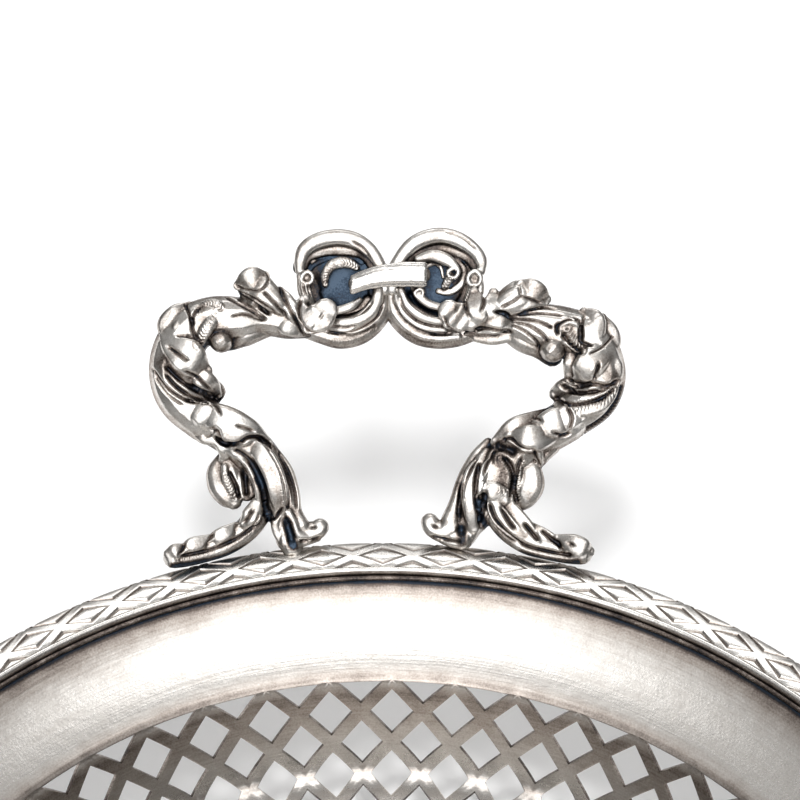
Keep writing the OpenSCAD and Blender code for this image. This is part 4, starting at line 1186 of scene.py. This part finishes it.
# The broad reed
stroke(bm, [(-0.9, 54.5, 2, 1.1), (-1.5, 51.6, 2.4, 1.4), (-3.3, 49.2, 2.6, 1.5), (-6.1, 47.7, 2.6, 1.4),
            (-9.4, 47.3, 2.4, 1.1), (-11.1, 47.5, 2.2, 0.6)], 0.7)
# The outer reeds
stroke(bm, [(0.2, 53.1, 0.8, 0.9), (-0.4, 50.3, 1.4, 1.1), (-2.6, 47.7, 1.8, 1.1), (-5.9, 46, 2, 1),
            (-8.9, 45.7, 2, 0.9), (-11.6, 46.4, 1.6, 0.6)], 0.8)
# The short inner reed
stroke(bm, [(-5, 52.3, 2, 0.6), (-7, 50.8, 2.4, 1), (-9.8, 49.9, 2.4, 1), (-12.4, 49.4, 2, 1)], 0.8)
# The floor between the reeds
stroke(bm, [(-3.3, 52.3, 0, 1), (-5, 49.7, 0, 1.4), (-8.3, 48.6, 0, 1.4), (-11.6, 48.4, 0, 1.2)], 0.4)
body = cast(bm)
tarnished(body, [(-8.3, 58.8), (-8.3, 52.3)], 7, 1.4, 0.6, "bed")
groove(body, [(-2.4, 51.8), (-4.1, 49.9), (-7.2, 48.8), (-10.2, 48.6)], 0.3, 0.8)
groove(body, [(-10.9, 46.6), (-8.3, 46.2), (-5.7, 46.6)], 0.2, 0.5)
groove(body, [(0, 51.4), (-1.3, 48.4), (-4.4, 46.2), (-8.3, 44.9), (-12, 45.3)], 0.25, 0.5)
tarnished(body, [(-13.3, 43.8), (-9.4, 42.9), (-5, 43.8), (-2, 46)], 1.6, 0.5)
milled(body, [(-11.6, 43.3), (-8.5, 43.1), (-5, 44.2), (-2, 46.4)], 0.9, 0.15, 0.6)
chased("left_lower_scroll", body)

bm = bmesh.new()
stroke(bm, [(19.8, 58.8, -1.6, 2.2), (16.8, 59.3, -1.6, 3.6), (13.7, 57.5, -1.6, 5.4),
            (11.1, 54, -1.6, 5.8), (9.8, 51.4, -1.4, 4.6)], 0.3)
stroke(bm, [(19.8, 57.1, -1.8, 2.2), (19, 54.5, -1.8, 3.2), (16.4, 52.3, -1.6, 3.6),
            (13.3, 51, -1.6, 3.4)], 0.3)
stroke(bm, [(8.9, 59.7, -1.6, 3), (6.3, 56.6, -1.6, 4.4), (5.9, 53.1, -1.4, 3)], 0.3)
stroke(bm, [(1.5, 53.6, -0.4, 1.6), (2.4, 50.1, -0.4, 2.2), (4.6, 47.3, -0.6, 2.5),
            (7.9, 45.1, -0.6, 2.7), (12, 44.2, -0.6, 2.6), (15.9, 44.4, -0.6, 2.4),
            (19, 45.7, -0.6, 2.6)], 0.9)
# The reeds
stroke(bm, [(2.8, 54.2, 1.6, 0.6), (3.5, 51, 2.2, 0.9), (6.1, 47.9, 2.4, 1.1), (9.6, 46.2, 2.4, 1.1),
            (13.3, 45.7, 2.2, 0.8)], 0.7)
stroke(bm, [(3.9, 54.5, 2.2, 0.8), (5, 51.6, 2.6, 1.1), (7.9, 49.2, 2.8, 1.3), (11.1, 47.9, 2.6, 1.3),
            (14.2, 47.7, 2.4, 1)], 0.7)
stroke(bm, [(1.7, 53.1, 0.6, 0.8), (2.4, 49.9, 1, 1), (4.8, 46.8, 1.4, 1), (8.1, 44.6, 1.6, 0.9),
            (12, 43.8, 1.6, 0.8), (16.4, 44.2, 1.4, 0.8)], 0.8)
# The short inner reed and its eye
stroke(bm, [(6.3, 55.1, 2, 0.5), (7.9, 52.9, 2.4, 1), (10.2, 51.2, 2.4, 1), (13.1, 50.3, 2.2, 1)], 0.8)
stroke(bm, [(7, 54, 2.8, 0.45), (8.1, 54.7, 2.8, 0.45), (8.8, 53.8, 2.8, 0.45), (8.1, 52.8, 2.8, 0.45),
            (7, 53.1, 2.8, 0.45), (6.8, 53.8, 2.8, 0.45)], 0.9)
body = cast(bm)
tarnished(body, [(10.7, 58.8), (10.2, 52.3)], 7, 1.4, 0.6, "bed")
groove(body, [(5.5, 54), (6.8, 51.6), (9.4, 49.7), (12.4, 49)], 0.5, 1.0)
tarnished(body, [(5.5, 54.5), (6.8, 51.6), (9.4, 49.7), (12.4, 49)], 0.5, 1.2, layer="bed")
groove(body, [(3.5, 53.1), (4.6, 50.3), (7.4, 47.7), (10.9, 46.6), (13.7, 46.6)], 0.2, 0.5)
groove(body, [(2.4, 51.4), (4.1, 48.4), (7.2, 46), (10.7, 44.9), (14.6, 44.9)], 0.22, 0.5)
tarnished(body, [(2.8, 47.5), (6.8, 44.2), (12.4, 42.9), (18.1, 44)], 1.6, 0.4)
milled(body, [(10.2, 43.1), (13.7, 43.1), (17.2, 44), (19.4, 45.3)], 0.9, 0.15, 0.6)
chased("right_lower_scroll", body)

# The upper scrolls.
# Rolled silver rims over a hollow bed, with a milled collar and a small rosette in each. They are
# cast, and soldered on the lower scrolls.
bm = bmesh.new()
# The rolled rim
stroke(bm, [(-18.1, 58.6, 1.8, 1), (-17.9, 61, 1.8, 1.4), (-16.8, 63.4, 1.3, 1.7),
            (-13.9, 65.2, 0.8, 1.8), (-9.8, 65.9, 0.5, 1.8), (-6.1, 65.2, 0.7, 1.8),
            (-3, 63.2, 1.2, 1.6), (-1.1, 60.6, 1.6, 1.4), (0, 57.5, 1.4, 1.5),
            (0.2, 54.5, 1.2, 1.5)], 0.8)
# The hollow wall behind the rim
stroke(bm, [(-18.1, 59.3, -0.8, 1.6), (-16.8, 62.3, -1, 2), (-13.7, 63.8, -1.2, 2.4),
            (-9.8, 64.2, -1.3, 2.5), (-5.9, 63.8, -1.2, 2.4), (-3.3, 62.3, -1.1, 2),
            (-1.5, 59.3, -0.8, 1.8), (-1.1, 55.8, -0.6, 1.8)], 0.6)
# A thin ring on the bed
stroke(bm, [(-16.3, 58.2, -0.8, 0.5), (-15, 59.9, -0.8, 0.6), (-12.4, 61, -0.8, 0.6),
            (-9.4, 61.4, -0.8, 0.6), (-6.3, 61.2, -0.8, 0.6), (-4.6, 60.1, -0.8, 0.5)], 0.8)
# The milled collar
stroke(bm, [(-12.6, 55.5, 0.8, 0.7), (-12.5, 57.7, 1, 1), (-11.3, 59.6, 1.1, 1.2),
            (-9.2, 60.3, 1.1, 1.3), (-7.2, 60.1, 1.1, 1.1), (-5.7, 59.3, 0.8, 0.8)], 0.8)
# The rosette and its stem
stroke(bm, [(-17.4, 57.7, 2.6, 0.5), (-16.3, 58.4, 2.6, 0.5), (-15.3, 57.5, 2.6, 0.5),
            (-15.5, 56.2, 2.6, 0.5), (-16.7, 55.7, 2.6, 0.5), (-17.7, 56.4, 2.6, 0.5),
            (-17.5, 57.5, 2.6, 0.5)], 0.8)
stroke(bm, [(-17.2, 55.1, 2, 1.2), (-16.6, 53.6, 2.2, 1.3), (-15.7, 51.8, 1.8, 0.9)], 0.9)
stroke(bm, [(-16.3, 56.9, 1.6, 1), (-16.6, 54.9, 1.4, 1)], 0.8)
body = cast(bm)
tarnished(body, [(-17.4, 59.7), (-15.9, 61.9), (-13.3, 63.2), (-9.4, 63.8), (-5.9, 63.2), (-3.5, 61.4),
                 (-2, 59.3)], 1.5, 0.9, 0.2)
tarnished(body, [(-15.9, 58.8), (-12.6, 61.4), (-8.3, 62.3), (-4.6, 60.1)], 5, 1.4, 0.1, "bed")
milled(body, [(-12.4, 55.8), (-12.2, 57.7), (-11.1, 59.4), (-9.2, 60.1), (-7.2, 59.9),
              (-5.7, 59)], 1.2, 0.35, 0.6)
groove(body, [(-17.4, 55.8), (-17, 54), (-16.3, 52.5)], 0.2, 0.4)
groove(body, [(-16.3, 55.5), (-15.9, 54), (-15.3, 52.5)], 0.2, 0.4)
groove(body, [(-6.8, 64.9), (-4.6, 63.6), (-3, 61.4)], 0.3, 0.35)
chased("left_upper_scroll", body)

bm = bmesh.new()
stroke(bm, [(2, 54.5, 1.2, 1.4), (2.2, 57.9, 1.4, 1.5), (3.7, 61.2, 1.4, 1.5), (6.3, 64.2, 1, 1.7),
            (9.6, 65.8, 0.6, 1.8), (13.1, 66.2, 0.3, 1.8), (16.6, 65.2, 0.7, 1.8),
            (19.6, 63.2, 1.3, 1.6), (21.3, 60.8, 1.8, 1.4), (21.4, 58.4, 1.8, 0.9)], 0.8)
stroke(bm, [(3.1, 55.8, -0.6, 1.8), (3.7, 59.3, -0.8, 1.8), (5.5, 62.1, -1, 2), (8.1, 63.6, -1.2, 2.4),
            (12.4, 64.2, -1.3, 2.5), (16.4, 63.6, -1.2, 2.4), (19.2, 61.9, -1, 2),
            (20.7, 59.3, -0.8, 1.6)], 0.6)
# A thin ring on the bed
stroke(bm, [(6.5, 61.9, -0.8, 0.5), (9.8, 63.2, -0.8, 0.6), (12.9, 62.7, -0.8, 0.6),
            (15.9, 61, -0.7, 0.7), (17.7, 58.6, -0.4, 0.8), (17, 55.8, 0, 0.9), (14.6, 54, 0, 0.9),
            (12, 54.2, -0.2, 0.8)], 0.8)
# The hook and its eye
stroke(bm, [(7.6, 61.2, 1, 0.9), (10.7, 61.9, 1.3, 1.4), (13.7, 61, 1.6, 1.4), (15.7, 59.5, 2.1, 0.8),
            (16.4, 58.2, 2.4, 0.5), (15.5, 57, 2.4, 0.5), (14.3, 57.3, 2.4, 0.5), (14.2, 58.5, 2.4, 0.5),
            (15.3, 59.1, 2.4, 0.5)], 0.7)
stroke(bm, [(14.6, 57.5, 1.6, 1), (13.5, 55.3, 1, 0.9)], 0.8)
stroke(bm, [(8.9, 59.3, 0.1, 0.5), (11.1, 60.3, 0.2, 0.6), (12.6, 59.3, 0.3, 0.5),
            (13.1, 57.1, 0.3, 0.4)], 0.9)
# The rosette and its stem
stroke(bm, [(18.8, 57.9, 2.4, 0.55), (20.1, 58.5, 2.4, 0.55), (21.2, 57.3, 2.4, 0.55),
            (20.9, 55.8, 2.4, 0.55), (19.4, 55.3, 2.4, 0.55), (18.4, 56.6, 2.4, 0.55),
            (18.8, 57.9, 2.4, 0.55)], 0.9)
stroke(bm, [(19.8, 56.9, 1.6, 1.2), (19.6, 54.5, 1.6, 1.3), (18.5, 52.3, 1.4, 1)], 0.8)
body = cast(bm)
tarnished(body, [(3.7, 60.1), (5.7, 62.7), (8.9, 64.3), (12.6, 64.7), (16.1, 63.4), (18.8, 61.4),
                 (20.5, 58.8)], 1.5, 0.9, 0.2)
tarnished(body, [(5.5, 60.6), (9.2, 62.7), (14.6, 62.3), (19, 58.8)], 5, 1.4, 0.1, "bed")
tarnished(body, [(19.4, 57.5), (20.3, 56.2)], 1.5, 0.6)
tarnished(body, [(15.3, 58.2), (15.3, 57.9)], 0.5, 1.2)
tarnished(body, [(19.8, 56.9), (19.8, 56.6)], 0.5, 1.2)
milled(body, [(14.6, 56.9), (13.7, 54.9)], 1.0, 0.3, 0.6)
milled(body, [(19.8, 55.1), (19.2, 53.6), (18.3, 51.8)], 0.9, 0.3, 0.6)
groove(body, [(13.7, 67.1), (17.2, 65.8), (20.3, 63.2)], 0.2, 0.3)
chased("right_upper_scroll", body)

# The tie bands.
# A short reeded strap of bright silver is soldered across the two upper scrolls of each handle, and
# holds them together.
bright_silver = silver("bright_silver", -0.3, 0.3, 0.4)
bm = bmesh.new()
stroke(bm, [(-5.7, 55.8, 2.4, 1.9), (0.2, 57.5, 2.8, 2.1), (8.3, 57.7, 2.4, 2.1)], 1.0)
stroke(bm, [(-6.6, 57, 4.1, 0.56), (-3.3, 58.4, 4.5, 0.6), (0.2, 59.2, 4.8, 0.65),
            (4.6, 59.7, 4.8, 0.72), (8.9, 59.7, 4.4, 0.74)], 1.1)
stroke(bm, [(-6.6, 56.4, 4.5, 0.56), (-3.3, 57.7, 4.9, 0.6), (0.3, 58.5, 5.2, 0.65),
            (4.6, 58.9, 5.2, 0.72), (8.9, 58.9, 4.8, 0.74)], 1.1)
stroke(bm, [(-6.6, 55.7, 4.5, 0.56), (-3.3, 57, 4.9, 0.6), (0.3, 57.8, 5.2, 0.65),
            (4.6, 58.1, 5.2, 0.72), (8.9, 58.1, 4.8, 0.74)], 1.1)
stroke(bm, [(-6.7, 55.1, 4.5, 0.56), (-3.3, 56.4, 4.9, 0.6), (0.4, 57, 5.2, 0.65),
            (4.6, 57.3, 5.2, 0.72), (8.9, 57.3, 4.8, 0.74)], 1.1)
stroke(bm, [(-6.7, 54.5, 4.5, 0.56), (-3.3, 55.7, 4.9, 0.6), (0.4, 56.3, 5.2, 0.65),
            (4.6, 56.5, 5.2, 0.72), (8.9, 56.4, 4.8, 0.74)], 1.1)
stroke(bm, [(-6.7, 53.9, 4.1, 0.56), (-3.3, 55, 4.5, 0.6), (0.4, 55.6, 4.8, 0.65),
            (4.6, 55.7, 4.8, 0.72), (8.9, 55.6, 4.4, 0.74)], 1.1)
body = cast(bm)
groove(body, [(-6.5, 56.9), (-1.1, 58.6), (3.7, 59), (8.9, 59)], 0.2, 0.2)
chased("tie_band", body, bright_silver)
